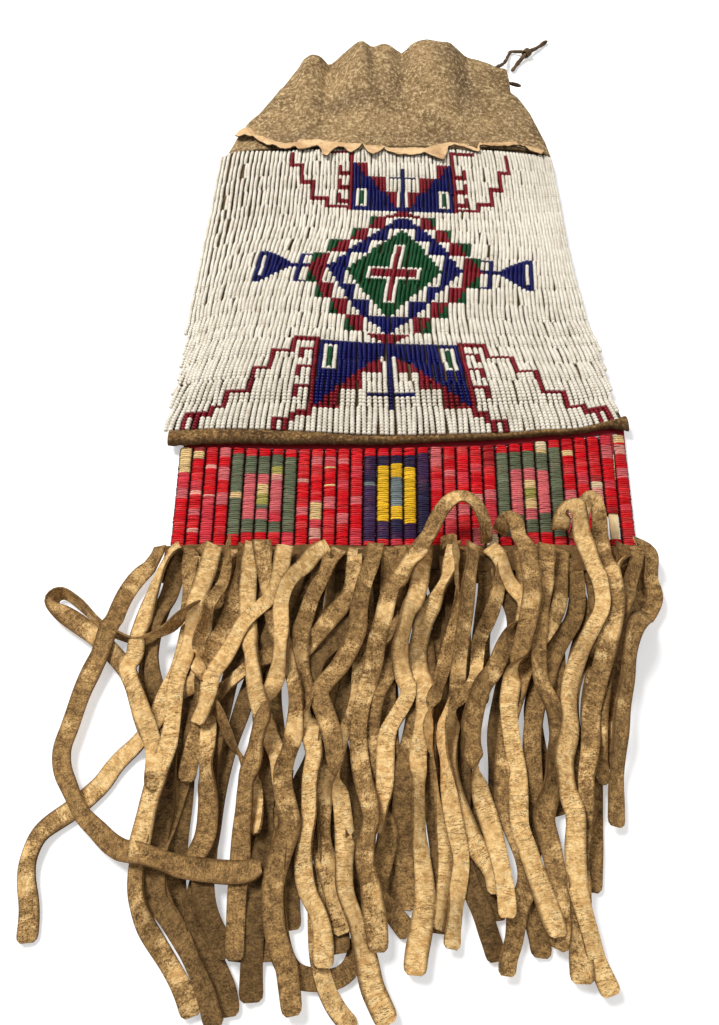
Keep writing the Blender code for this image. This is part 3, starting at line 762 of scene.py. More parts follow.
beads = bead_tree()
tone = np.clip(random.beta(1.4, 3.2, figure.shape) + 0.10 * random.normal(
    size=strings_of_lanes)[lane_of], 0, 1)
GLASS = {WHITE: ("white_beads", (0.89, 0.83, 0.715), (0.71, 0.64, 0.515), 0.35),
         RED: ("red_beads", (0.25, 0.007, 0.016), (0.12, 0.003, 0.008), 0.30),
         BLUE: ("blue_beads", (0.0025, 0.004, 0.11), (0.0015, 0.002, 0.045), 0.30),
         GREEN: ("green_beads", (0.003, 0.078, 0.020), (0.0015, 0.037, 0.009), 0.30)}
# The white beads are made in three pieces, because together they have too many faces for one
WHITE_PARTS = ((0, 47), (47, 93), (93, BEAD_ROWS))
place = np.stack([bead_x, bead_y, bead_z], 2)
for colour, (name, *looks) in GLASS.items():
    glass = bead_material(name, *looks)
    parts = WHITE_PARTS if colour == WHITE else ((0, BEAD_ROWS),)
    for part, (first, last) in enumerate(parts):
        chosen = (figure == colour) & (row >= first) & (row < last) & on_hide
        piece = run_tree(name + ("_%d" % (part + 1) if len(parts) > 1 else ""), beads,
                         place[chosen], {"heading": heading[chosen], "tone": tone[chosen],
                                         "girth": girth[chosen]}, glass)
        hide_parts("bead_covering")
        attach(piece, "root")


# ---- Upper hide ----------------------------------------------------------------------------
# The soft brown top of the bag, one piece of smoked hide sewn round into a tube. It narrows to
# the open mouth, whose rim stands up in slack folds where the drawstring gathers it.

MOUTH_Y, MOUTH_LENGTH, SEAM_HEIGHT = SEAM_Y + 0.3, 75.0, 11.2
UPPER_THICK, SIDE_THICK, UNDER_TOP, UNDER_DROP = 1.3, 1.6, 1.45, 1.43
LEFT_SIDE = [(0, -92.3), (0.1, -90), (0.22, -87.7), (0.305, -85.3), (0.39, -81.7), (0.47, -76.9),
             (0.56, -72.9), (0.65, -69.3), (0.73, -65.4), (0.8, -62), (0.9, -58.6), (1, -55.8)]
RIGHT_SIDE = [(0, 91.8), (0.18, 90.3), (0.37, 87.0), (0.5, 84.0), (0.64, 78.5), (0.72, 73.5),
              (0.8, 73.5), (1, 73.0)]
RIM_HEIGHT = [(-58, 17), (-54, 18), (-50, 23), (-45, 24), (-40, 22.5), (-35, 18.5), (-31, 20.5),
              (-26, 24), (-19, 30), (-15, 32), (-11, 30), (-6, 29.5), (-1, 29), (9, 25), (14, 29.5),
              (23, 32), (31, 31.5), (37, 30), (47, 24), (57, 19), (66, 17.5), (72, 18)]
# Folds that run down from the rim: x at the rim, drift towards the seam, width, height, reach
FOLDS = [(-15, 8, 4.5, 2.2, 0.75), (-8.5, 6, 2.6, -2.6, 0.6), (-35, -6, 4.5, -2.8, 0.8),
         (-25, -4, 6, 1.4, 0.9), (9, 4, 5.5, -2.6, 0.7), (24, 3, 9, 1.6, 0.9),
         (46, 8, 4.5, -2.0, 0.85), (58, 9, 5, 1.6, 0.8), (-47, -9, 6, 1.5, 0.9),
         (36, 5, 4, 1.0, 0.6), (2, 2, 4, 1.0, 0.65)]
# Dark handled places on the upper hide: x, y, half width, half length, strength
SOILED = [(-26, 141, 13, 6, 0.8), (44, 150, 8, 17, 0.75), (36, 172, 9, 7, 0.8),
          (38, 117, 20, 5, 0.55), (72, 137, 9, 12, 0.5), (-56, 118, 16, 6, 0.6),
          (-11, 168, 3, 10, 0.7), (8, 170, 8, 9, 0.45), (0, 118, 22, 8, 0.3),
          (-2, 150, 9, 12, 0.35)]
AROUND_TOP, AROUND_UNDER, STATIONS = 97, 31, 49
t = np.linspace(0, 1, STATIONS)[:, None]
theta = np.concatenate([np.linspace(np.pi, 0, AROUND_TOP),
                        np.linspace(0, -np.pi, AROUND_UNDER + 2)[1:-1]])[None, :]
left, right = read_off(t, LEFT_SIDE), read_off(t, RIGHT_SIDE)
x = (left + right) / 2 + (right - left) / 2 * np.sign(np.cos(theta)) * np.abs(
    np.cos(theta)) ** 0.92
y = MOUTH_Y + MOUTH_LENGTH * t + 0 * theta
open_share = smooth_step(t * 1.08) ** 1.1
height = SEAM_HEIGHT + (read_off(x, RIM_HEIGHT) - SEAM_HEIGHT) * open_share
for at, drift, wide, amount, reach in FOLDS:
    line = at + drift * (1 - t) ** 1.3
    fade = smooth_step((t - (1 - reach)) / reach) * smooth_step((1.12 - t) / 0.25)
    height = height + amount * fade * np.exp(-((x - line) / wide) ** 2)
height = height + (worn_height(x, y, 6.3, 0.45, 2.0) + worn_height(x, y, 3.1, 0.18, 5.0)
                   ) * smooth_step(t * 5)
rounded = np.abs(np.sin(theta)) ** (0.55 - 0.42 * open_share)
z = np.where(theta >= 0, UNDER_TOP + (height - UNDER_TOP) * rounded,
             UNDER_TOP - UNDER_DROP * np.abs(np.sin(theta)) ** 0.3)
y = y + np.where(theta > 0, 1.0, 0.4) * t * (1.3 * np.sin(x / 7.3) + 0.8 * np.sin(x / 3.1 + 2))
x = x + 0.5 * np.sin(y / 5.0 + 1) * t * (1 - rounded)
outer = np.stack([x, y, z], 2)
side_thick = (np.clip((x - (left + right) / 2) / 8, -1, 1) * SIDE_THICK * (1 - rounded)
              * (theta >= 0))
inner = outer - np.stack([side_thick, 0 * x, np.where(theta >= 0, UPPER_THICK * rounded,
                                                      -UPPER_THICK)], 2)
inner[:, :, 2] = np.maximum(inner[:, :, 2], UPPER_THICK + 0.02)
grid = np.concatenate([outer, inner[::-1]], 0)
rings, around = grid.shape[:2]
faces = [((r + 1) % rings * around + k, (r + 1) % rings * around + (k + 1) % around,
          r * around + (k + 1) % around, r * around + k)
         for r in range(rings) for k in range(around)]


def laid_tones(tree, pattern, colour, *kinds):
    """Lay tones over a colour: specks, and on the fringe a band of painted shade at the strip
    edges; each kind is where they start, fill, how strong, and a tone.
    """
    for low, high, strength, tone in kinds:
        colour = blended(tree, remapped(tree, pattern, low, high, 0.0, strength), colour, tone)
    return colour


def handled_and_shaded_upper(tree, place, colour):
    """Dark handled places, painted shade along the seam under the edging, and coarse nap over the
    suede.
    """
    fleck = remapped(tree, noise(tree, place, 520.0, 4.0, 0.7), 0.36, 0.66, 0.35, 1.0)
    colour = blended(tree, maths(tree, "MULTIPLY", mark(tree, "soil"), fleck), colour,
                     (0.125, 0.078, 0.045))
    return laid_tones(tree, noise(tree, place, 520.0, 6.0, 0.85), colour,
                  (0.50, 0.38, 0.85, (0.10, 0.06, 0.028)), (0.52, 0.62, 0.75, (0.82, 0.62, 0.35)))


upper_finish = hide_material("upper_hide_suede", (0.40, 0.26, 0.118), (0.18, 0.108, 0.044),
                             (0.64, 0.46, 0.235), 52.0, 950.0, 0.0003, handled_and_shaded_upper)
upper = mesh_piece("upper_hide_cloth", grid.reshape(-1, 3), faces, upper_finish)
soil_and_shade = np.zeros(grid.shape[:2])
for at_x, at_y, wide, long, strength in SOILED:
    far = ((grid[:, :, 0] - at_x) / wide) ** 2 + ((grid[:, :, 1] - at_y) / long) ** 2
    soil_and_shade = np.maximum(soil_and_shade, strength * np.exp(-far ** 1.2))
# Painted shade along the foot of the upper hide, next to the seam under the edging
soil_and_shade = np.maximum(soil_and_shade, 0.5 * np.clip(1 - (grid[:, :, 1] - MOUTH_Y) / 5, 0, 1))
add_marks(upper.data, soil=soil_and_shade.ravel())
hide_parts("upper_hide")
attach(upper, "root")


# ---- Pinked edging --------------------------------------------------------------------------
# The cut lower edge of the upper hide, turned down over the first beads. Its grain side is
# pale cream and it was cut into rough tabs, which have curled and partly broken away.

EDGE_LOW = [(-87.5, 121), (-84.5, 118.5), (-79.6, 117.2), (-76, 117), (-74.5, 115.2), (-73, 113),
            (-71, 110.5), (-65.7, 106), (-62, 104.6), (-60, 101.5), (-54.5, 101.8), (-51.3, 103.7),
            (-50.9, 100.5), (-48, 98.2), (-44.8, 99.2), (-39.3, 103.7), (-38.2, 100.5),
            (-36.7, 93.2), (-33.7, 90.6), (-31, 96), (-28.3, 99.8), (-25.6, 99.6), (-23.4, 96.7),
            (-20.6, 95.2), (-17.3, 98.9), (-14.6, 103.4), (-14.1, 97.6), (-10.8, 92), (-8.6, 90.6),
            (-5.4, 96), (-3, 100.6), (-2.5, 96.6), (1.3, 94), (5.7, 92.2), (12.2, 92.4),
            (19.3, 93.4), (23.2, 90.3), (26.4, 88), (29, 88.2), (30.9, 92.2), (32, 101.7),
            (35.8, 102.9), (41.3, 101.5), (44, 99.5), (48.4, 97.2), (49.5, 99.8), (50, 105.2),
            (55, 104.2), (60.5, 105), (66, 106), (70.5, 107.6), (73, 108.4), (76, 107),
            (78.8, 103.6), (84.3, 102), (86.8, 104.6)]
EDGE_TOP = [(-87.5, 123.5), (-84.7, 127.6), (-81, 129.2), (-78, 127.3), (-75.4, 120), (-70, 117.8),
            (-66, 114), (-62, 110.8), (-58, 109.6), (-51.4, 109.6), (-50.9, 112.4), (-39.3, 111.6),
            (-27.2, 107.2), (-21.7, 106.8), (-14.6, 105.4), (-2.5, 102.8), (0.2, 100.4),
            (11.2, 101.6), (19.4, 101.2), (23.2, 103.4), (27.6, 106), (31.5, 107.2), (41.3, 106.4),
            (44, 104.6), (48.5, 101.4), (50, 108.3), (63.4, 110.8), (70, 112.6), (72, 110.4),
            (76, 109), (80, 109.8), (85, 109.4), (86.8, 107.6)]
# How far the lower edge has curled up, across the bag
CURL = [(-90, 2.4), (-80, 2.0), (-70, 0.9), (-50, 1.3), (-35, 1.8), (-20, 1.1), (-10, 1.9),
        (5, 0.7), (27, 1.5), (40, 0.9), (55, 0.7), (70, 0.9), (90, 1.2)]
BEADS_OVER, HIDE_OVER, EDGE_STATIONS, EDGE_ROWS = 2.15, 9.9, 350, 9


def above_seam(x, y):
    """Height of what lies under the edging: beads below the seam, hide above it."""
    over_beads = front_top(x, np.minimum(y, BODY_TOP)) + BEADS_OVER
    u = np.clip(np.abs(x) / 92, 0, 1)
    over_hide = (UNDER_TOP + HIDE_OVER * np.maximum(0, 1 - u * u) ** 0.275
                 + 0.05 * np.clip(y - 112, 0, 20))
    return np.where(y < SEAM_Y, over_beads, np.maximum(over_hide, over_beads - 0.6))


def edge_material():
    """Pale cut hide with brown spots."""
    finish, tree, shader = new_material("raw_edge")
    place = object_place(tree)
    cream = blended(tree, remapped(tree, noise(tree, place, 90.0, 4.0, 0.6, 0.5), 0.38, 0.62),
                    (0.56, 0.33, 0.155), (0.82, 0.56, 0.29))
    cream = laid_tones(tree, noise(tree, place, 420.0, 3.0, 0.6), cream,
                   (0.55, 0.72, 0.6, (0.36, 0.20, 0.10)))
    surfaced(tree, shader, cream, 0.8, 0.3, noise(tree, place, 700.0, 4.0, 0.65), 0.6, 0.0002)
    return finish


across = np.linspace(EDGE_LOW[0][0], EDGE_LOW[-1][0], EDGE_STATIONS)
low = read_off(across, EDGE_LOW) + 0.5 * np.sin(across / 1.1) * np.sin(across / 4.7)
high = read_off(across, EDGE_TOP) + 0.25 * np.sin(across / 1.7)
up_edge = np.linspace(0, 1, EDGE_ROWS)[:, None]
y = low + (high - low) * up_edge
x = across + 0.35 * np.sin(y / 1.9)
lift = 0.35 + read_off(x, CURL) * (1 - up_edge) ** 1.6 * (0.8 + 0.35 * np.sin(x / 2.7))
base = above_seam(x, y) + lift + 0.10 * np.sin(x * 1.9 + y)
thick = np.where(up_edge == 1, 0.35, 0.95) - 0.25 * (up_edge == 0)
points, faces = closed_sheet(np.stack([x, y, base + thick], 2), np.stack([x, y, base], 2))
edging = mesh_piece("pinked_edge", points, faces, edge_material())
# Only the grain side is pale: the faces after those of the upper grid are brown
edging.data.materials.append(thong_hide)
upward = (EDGE_ROWS - 1) * (EDGE_STATIONS - 1)
for polygon in edging.data.polygons[upward:]:
    polygon.material_index = 1
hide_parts("pinked_edging")
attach(edging, "root")


# ---- Rolled hem -----------------------------------------------------------------------------
# The lower end of the bag, brown hide rolled over and stitched, wavy from the stiff beads. It
# is broad and soft at the left, thin in the middle and knobbed at its right end.

# The hem at places across the bag: x, then its middle y, half width and half height
HEM_STOPS = [(-97, -98.6, 4.0, 2.1), (-84, -98.0, 3.9, 2.1), (-59, -97.6, 3.8, 2.1),
             (-42, -98.6, 3.45, 2.0), (-25, -99.3, 2.6, 1.8), (0, -99.8, 2.1, 1.65),
             (15, -98.8, 1.9, 1.6), (30, -98.1, 1.8, 1.6), (43, -97.6, 1.5, 1.6),
             (60, -96.1, 1.35, 1.6), (70, -95.4, 1.2, 1.6), (77, -94.4, 1.2, 1.6),
             (84, -92.9, 1.3, 1.65), (91, -91.1, 1.8, 1.7), (95, -90.8, 3.0, 1.8),
             (98, -90.9, 3.9, 1.8)]
HEM_LEFT, HEM_RIGHT, HEM_STATIONS = -97.4, 98.6, 263
HEM_SIDES, HEM_MIDDLE_Z, HEM_THICK = 19, 4.5, 0.7
across = np.linspace(HEM_LEFT, HEM_RIGHT, HEM_STATIONS)
turn = np.radians(np.linspace(-165, 165, HEM_SIDES))
wave = 0.55 * np.sin(across / 7.1) + 0.35 * np.sin(across / 3.3 + 1) + 0.25 * np.sin(across / 1.9)
stops, *shape = zip(*HEM_STOPS)
centre_y, wide, tall = (np.interp(across, stops, s)[:, None] for s in shape)
centre_y = centre_y + 0.35 * wave[:, None]
centre_z = HEM_MIDDLE_Z + 0.15 * np.sin(across / 5.3 + 2)[:, None]
wide = wide + 0.12 * wave[:, None]
tall = tall + 0.08 * np.sin(across / 2.7)[:, None]
pucker = 1 + 0.05 * np.sin(across[:, None] * 1.3 + 2 * np.sin(turn)[None, :])
outer, inner = (np.stack([np.broadcast_to(across[:, None], pucker.shape),
                          centre_y - (wide - inset) * np.cos(turn) * pucker,
                          centre_z + (tall - inset) * np.sin(turn) * pucker], 2)
                for inset in (0.0, HEM_THICK))
points, faces = closed_sheet(outer.swapaxes(0, 1), inner.swapaxes(0, 1))


def hem_nap_and_painted_shade(tree, place, colour):
    """Coarse nap, and painted shade on the side that faces the slats."""
    colour = laid_tones(tree, noise(tree, place, 700.0, 5.0, 0.85), colour,
                    (0.52, 0.40, 0.7, (0.045, 0.022, 0.008)), (0.53, 0.63, 0.7, (0.60, 0.38, 0.15)))
    return blended(tree, mark(tree, "under"), colour, (0.05, 0.025, 0.009))


hem = mesh_piece("rolled_hem", points, faces,
                 hide_material("hem_hide", (0.25, 0.130, 0.042), (0.075, 0.038, 0.013),
                               (0.42, 0.27, 0.115), 110.0, 1100.0, 0.0003, hem_nap_and_painted_shade))
# Painted shade: the side of the roll that turns down towards the slats is darkened
painted_under_shade = 0.75 * smooth_step((np.cos(turn) - 0.25) / 0.6)
add_marks(hem.data, under=np.tile(np.repeat(painted_under_shade, len(across)), 2))
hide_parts("hem_roll")
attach(hem, "root")


# ---- Rawhide slats --------------------------------------------------------------------------
# Stiff dried rawhide cut into thirty four slats between two whole margins. It shows bare only
# where the wrapping of one slat is lost, and its upper margin is dyed red.

FOOT_Y, DYED_ABOVE, RIGHT_END, RIGHT_END_MORE = -153.5, -106, 85, 2.2


def fanned(x, y):
    """X of a place on the slats, which stand a little wider apart towards their heads."""
    up = np.clip((np.asarray(y) - FOOT_Y) / 50, -0.2, 1.1)
    return x * (0.988 + 0.038 * up) + 1.2 * up - 0.3


def stretched(tree, place, scale):
    """A place whose pattern is drawn out along an axis."""
    return add_node(tree, "ShaderNodeMapping", {"Vector": place, "Scale": scale}).outputs[0]


def rawhide_material():
    """Streaky yellow rawhide with darker spots and a red dyed margin."""
    finish, tree, shader = new_material("bare_rawhide")
    place = object_place(tree)
    streak = stretched(tree, place, (1.0, 0.25, 1.0))
    tone = blended(tree, remapped(tree, noise(tree, streak, 500.0, 4.0), 0.36, 0.64),
                   (0.62, 0.43, 0.20), (0.86, 0.66, 0.37))
    tone = laid_tones(tree, noise(tree, place, 130.0, 3.0), tone, (0.55, 0.7, 0.7, (0.42, 0.27, 0.12)))
    dyed = remapped(tree, along_axis(tree, place, "Y"), DYED_ABOVE * MM, (DYED_ABOVE + 0.5) * MM)
    tone = blended(tree, dyed, tone, (0.26, 0.007, 0.013))
    surfaced(tree, shader, tone, 0.55, 0.5, noise(tree, streak, 1400.0, 3.0), 0.5, 0.0001)
    return finish


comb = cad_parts["rawhide_comb"]
cut = np.array([tuple(comb.matrix_world @ v.co) for v in comb.data.vertices]) / MM
at_end = (cut[:, 0] > RIGHT_END) & (cut[:, 1] > DYED_ABOVE)
cut[:, 0] = fanned(cut[:, 0], cut[:, 1]) + RIGHT_END_MORE * at_end
slats = mesh_piece("rawhide_slats", cut, [tuple(p.vertices) for p in comb.data.polygons],
                   rawhide_material(), smooth=False)
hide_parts("rawhide_comb")
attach(slats, "root")


# ---- Quill wrapping -------------------------------------------------------------------------
# Flattened and dyed porcupine quills wound side by side round each slat, about forty turns a
# slat. Groups of dyed turns make small blocks of colour, and some dye has faded.

SLATS, SLAT_PITCH, SLATS_MIDDLE = 34, 5.42, 1.0
WRAP_LIFT, TURN_PITCH, WRAP_MIDDLE_Z = 1.9, 1.04, 1.4
FOOT_SLAT, FOOT_LENGTH, LOST_LENGTH = 32, 3, 15.4
DYES = {"r": (0.80, 0.006, 0.014), "k": (0.80, 0.16, 0.17), "g": (0.15, 0.18, 0.10),
        "G": (0.30, 0.33, 0.20), "c": (0.86, 0.60, 0.27), "y": (0.95, 0.56, 0.02),
        "v": (0.045, 0.020, 0.075), "b": (0.20, 0.25, 0.25), "R": (0.45, 0.003, 0.008),
        "m": (0.80, 0.050, 0.072), "w": (0.90, 0.72, 0.45), "p": (0.88, 0.38, 0.30),
        "n": (0.018, 0.020, 0.060), "l": (0.42, 0.38, 0.09)}
# How far below the end of the beads the wrapping of a slat begins, across the bag
HEADS_UNDER = [(-60, 7.8), (-45, 7.2), (-30, 5.8), (-15, 4.4), (0, 3.8), (43, 3.8), (61, 2.9),
               (71, 2.2), (75, 1.9), (80, 2.3), (85, 3.1), (90, 4.5), (97, 4.6)]
# Dyed turns of each slat from its foot to its head: how much of the length, then the dye
BANDS = ["45r 12k 15m 28c", "12r 5p 13r 5k 15r 5p 10m 22r 9c 4R", "48m 3p 26r 4p 19r",
         "40r 12k 13r 14k 10r 11k", "11r 36g 6c 40g 7r", "12r 14g 46k 20g 8r",
         "12r 13g 11k 5g 9l 11c 11k 20g 8r", "12r 11g 12m 32k 5p 8l 14g 6r",
         "12m 80g 8r", "30r 8k 25r 6p 31r", "7r 11p 8m 16c 2k 40r 8k 8r",
         "36r 12k 11r 3c 16r 3c 6m 4k 9r", "22r 9k 26r 10m 15r 8k 10r",
         "18m 22r 9k 20r 12m 19r", "5r 55v 4b 6n 22v 8r", "7r 16v 57y 12n 8r",
         "6m 6v 14n 13y 30b 13y 10n 8r", "7r 15v 56y 13n 9r", "5r 58n 30v 7r",
         "20r 10k 25r 10m 15r 20k", "26m 12k 30r 8k 24r", "30r 9k 22r 12m 27r",
         "16k 24r 10p 22r 10m 18r", "10w 8k 26m 10k 24r 22R", "8r 84g 8r",
         "12r 16g 46k 18g 8r", "12r 11g 11k 9c 10l 9c 12k 18g 8r", "12r 17g 42k 18g 4c 7w",
         "8r 84g 8r", "20m 10p 20k 32r 7c 11r", "24r 10k 20r 12m 34r",
         "30r 8k 12p 6w 6R 38r", "8R 22r 10m 30r 18k 12m", "30r 6m 24r 8k 14r 8p 3r 7c"]


def wound_tree():
    """Flat rings threaded on a slat at every point, marked by their distance from its middle."""
    tree, given = new_grower("wound_quills", {
        "Turn width": 0.0064, "Top width": 0.0040, "Turn height": 0.0025, "Corner": 0.0006,
        "Quill width": 0.00056, "Quill thickness": 0.45}, 5)
    path = add_node(tree, "GeometryNodeCurvePrimitiveQuadrilateral",
                    {"Bottom Width": given["Turn width"], "Top Width": given["Top width"],
                     "Height": given["Turn height"], "Offset": 0.0}, mode="TRAPEZOID")
    rounded = add_node(tree, "GeometryNodeFilletCurve", {"Curve": path.outputs[0],
                                                         "Radius": given["Corner"], "Count": 2},
                       mode="POLY")
    even = add_node(tree, "GeometryNodeResampleCurve", {"Curve": rounded.outputs[0],
                                                        "Count": 12})
    quill = add_node(tree, "GeometryNodeCurvePrimitiveCircle", {"Resolution": 4,
                                                                "Radius": given["Quill width"]})
    flat = add_node(tree, "ShaderNodeCombineXYZ", {"X": given["Quill thickness"], "Y": 1.0,
                                                   "Z": 1.0})
    pressed = add_node(tree, "GeometryNodeTransform", {"Geometry": quill.outputs[0],
                                                       "Scale": flat.outputs[0]})
    ring = add_node(tree, "GeometryNodeCurveToMesh", {"Curve": even.outputs[0],
                                                      "Profile Curve": pressed.outputs[0]})
    smooth = add_node(tree, "GeometryNodeSetShadeSmooth", {"Geometry": ring.outputs[0]})
    here = tree.nodes.new("GeometryNodeInputPosition").outputs[0]
    marked = add_node(tree, "GeometryNodeStoreNamedAttribute",
                      {"Geometry": smooth.outputs[0], "Name": "flank",
                       "Value": maths(tree, "ABSOLUTE", along_axis(tree, here, "X"))},
                      data_type="FLOAT", domain="POINT")
    lean = varied(tree, given, (math.pi / 2 - 0.03, -0.05, -0.09),
                  (math.pi / 2 + 0.03, 0.05, 0.09))
    size = varied(tree, given, (0.97, 0.95, 0.9), (1.04, 1.06, 1.12))
    return grown(tree, given, marked.outputs[0], lean, size)


def quill_material():
    """Dyed quills, a little faded in patches and streaked across, with painted shade on their
    flanks between the slats.
    """
    finish, tree, shader = new_material("dyed_quills")
    place = object_place(tree)
    faded = remapped(tree, noise(tree, place, 210.0, 4.0, 0.65), 0.54, 0.74, 0.0, 0.12)
    fine = noise(tree, stretched(tree, place, (0.3, 1.0, 1.0)), 2600.0, 3.0, 0.6)
    fine = remapped(tree, fine, 0.35, 0.65, 0.0, 0.30)
    colour = blended(tree, faded, mark(tree, "dye", "Vector"), (0.86, 0.34, 0.26))
    colour = blended(tree, fine, colour, (0.06, 0.01, 0.01))
    # Painted shade: the outer flanks of each turn, facing the next slat, are darkened to stand in
    # for the shade in the gap
    colour = blended(tree, remapped(tree, mark(tree, "flank"), 0.00195, 0.00245, 0.0, 0.93),
                     colour, (0.020, 0.005, 0.005))
    surfaced(tree, shader, colour, 0.48, 0.12, fine, 0.5, 0.00008)
    return finish


quill_finish = quill_material()
wound = wound_tree()
random = np.random.default_rng(33)


def dyes_along(bands, count):
    """Dye of every turn of a slat, foot first."""
    parts = [(int(b[:-1]), b[-1]) for b in bands.split()]
    ends = np.cumsum([p[0] for p in parts]) / sum(p[0] for p in parts)
    middles = (np.arange(count) + 0.5) / count
    base = np.array([DYES[parts[min(k, len(parts) - 1)][1]]
                     for k in np.searchsorted(ends, middles)])
    worn = np.convolve(random.normal(0, 1, count + 4), np.ones(5) / 5, "valid")[:, None]
    worn = np.clip(worn * 0.5, 0, 0.4) + random.choice([0, 0, 0, 0, 0.25], (count, 1))
    reds = base[:, :1] > 2.5 * base[:, 1:2]
    pale = np.where(reds, base * 0.6 + np.array((0.36, 0.11, 0.10)), base * 1.4 + 0.03)
    return (base * (1 - worn) + pale * worn) * random.uniform(0.74, 1.12, (count, 1))


def slat_x(number):
    """Middle of a slat, counted from the left."""
    return SLATS_MIDDLE + (number - (SLATS - 1) / 2) * SLAT_PITCH


def wrap_slat(number, title, node, low, high, bands):
    """Wrapping of one slat from low to high, in the colours of its bands."""
    count = max(2, round((high - low) / TURN_PITCH))
    places = low + (np.arange(count) + 0.5) * (high - low) / count
    points = np.stack([fanned(slat_x(number), places) + random.normal(0, 0.04, count), places,
                       WRAP_MIDDLE_Z + random.normal(0, 0.02, count)], 1)
    piece = run_tree(title, wound, points, {"dye": dyes_along(bands, count)}, quill_finish,
                     seed=number)
    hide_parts(node)
    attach(piece, "root")


for number, bands in enumerate(BANDS):
    x = slat_x(number)
    head = float(min(hem_y(x - 3), hem_y(x + 3)) - read_off(x, HEADS_UNDER))
    low = FOOT_Y + WRAP_LIFT
    if number == FOOT_SLAT:
        wrap_slat(number, "quilled_slat_foot_33", "quill_wrap_foot_33", low, low + FOOT_LENGTH,
                  "1r")
        low += LOST_LENGTH
    wrap_slat(number, "quilled_slat_%02d" % (number + 1), "quill_wrap_%02d" % (number + 1),
              low, head, bands)


# ---- Fringe -------------------------------------------------------------------------------
# Two hides cut into strips below whole headers, sewn over the foot of the rawhide. Each strip
# is pale and smooth on its grain side and brown napped suede on the other; they have dried
# twisted and cupped, and lie over each other.

# One strip a line, in the order in which they lie: front or back layer, what faces up along it
# (p pale side, b brown side, t brown and twisted, e brown and on edge) with the height of its
# arch if it has one, then its route from the header to its tip

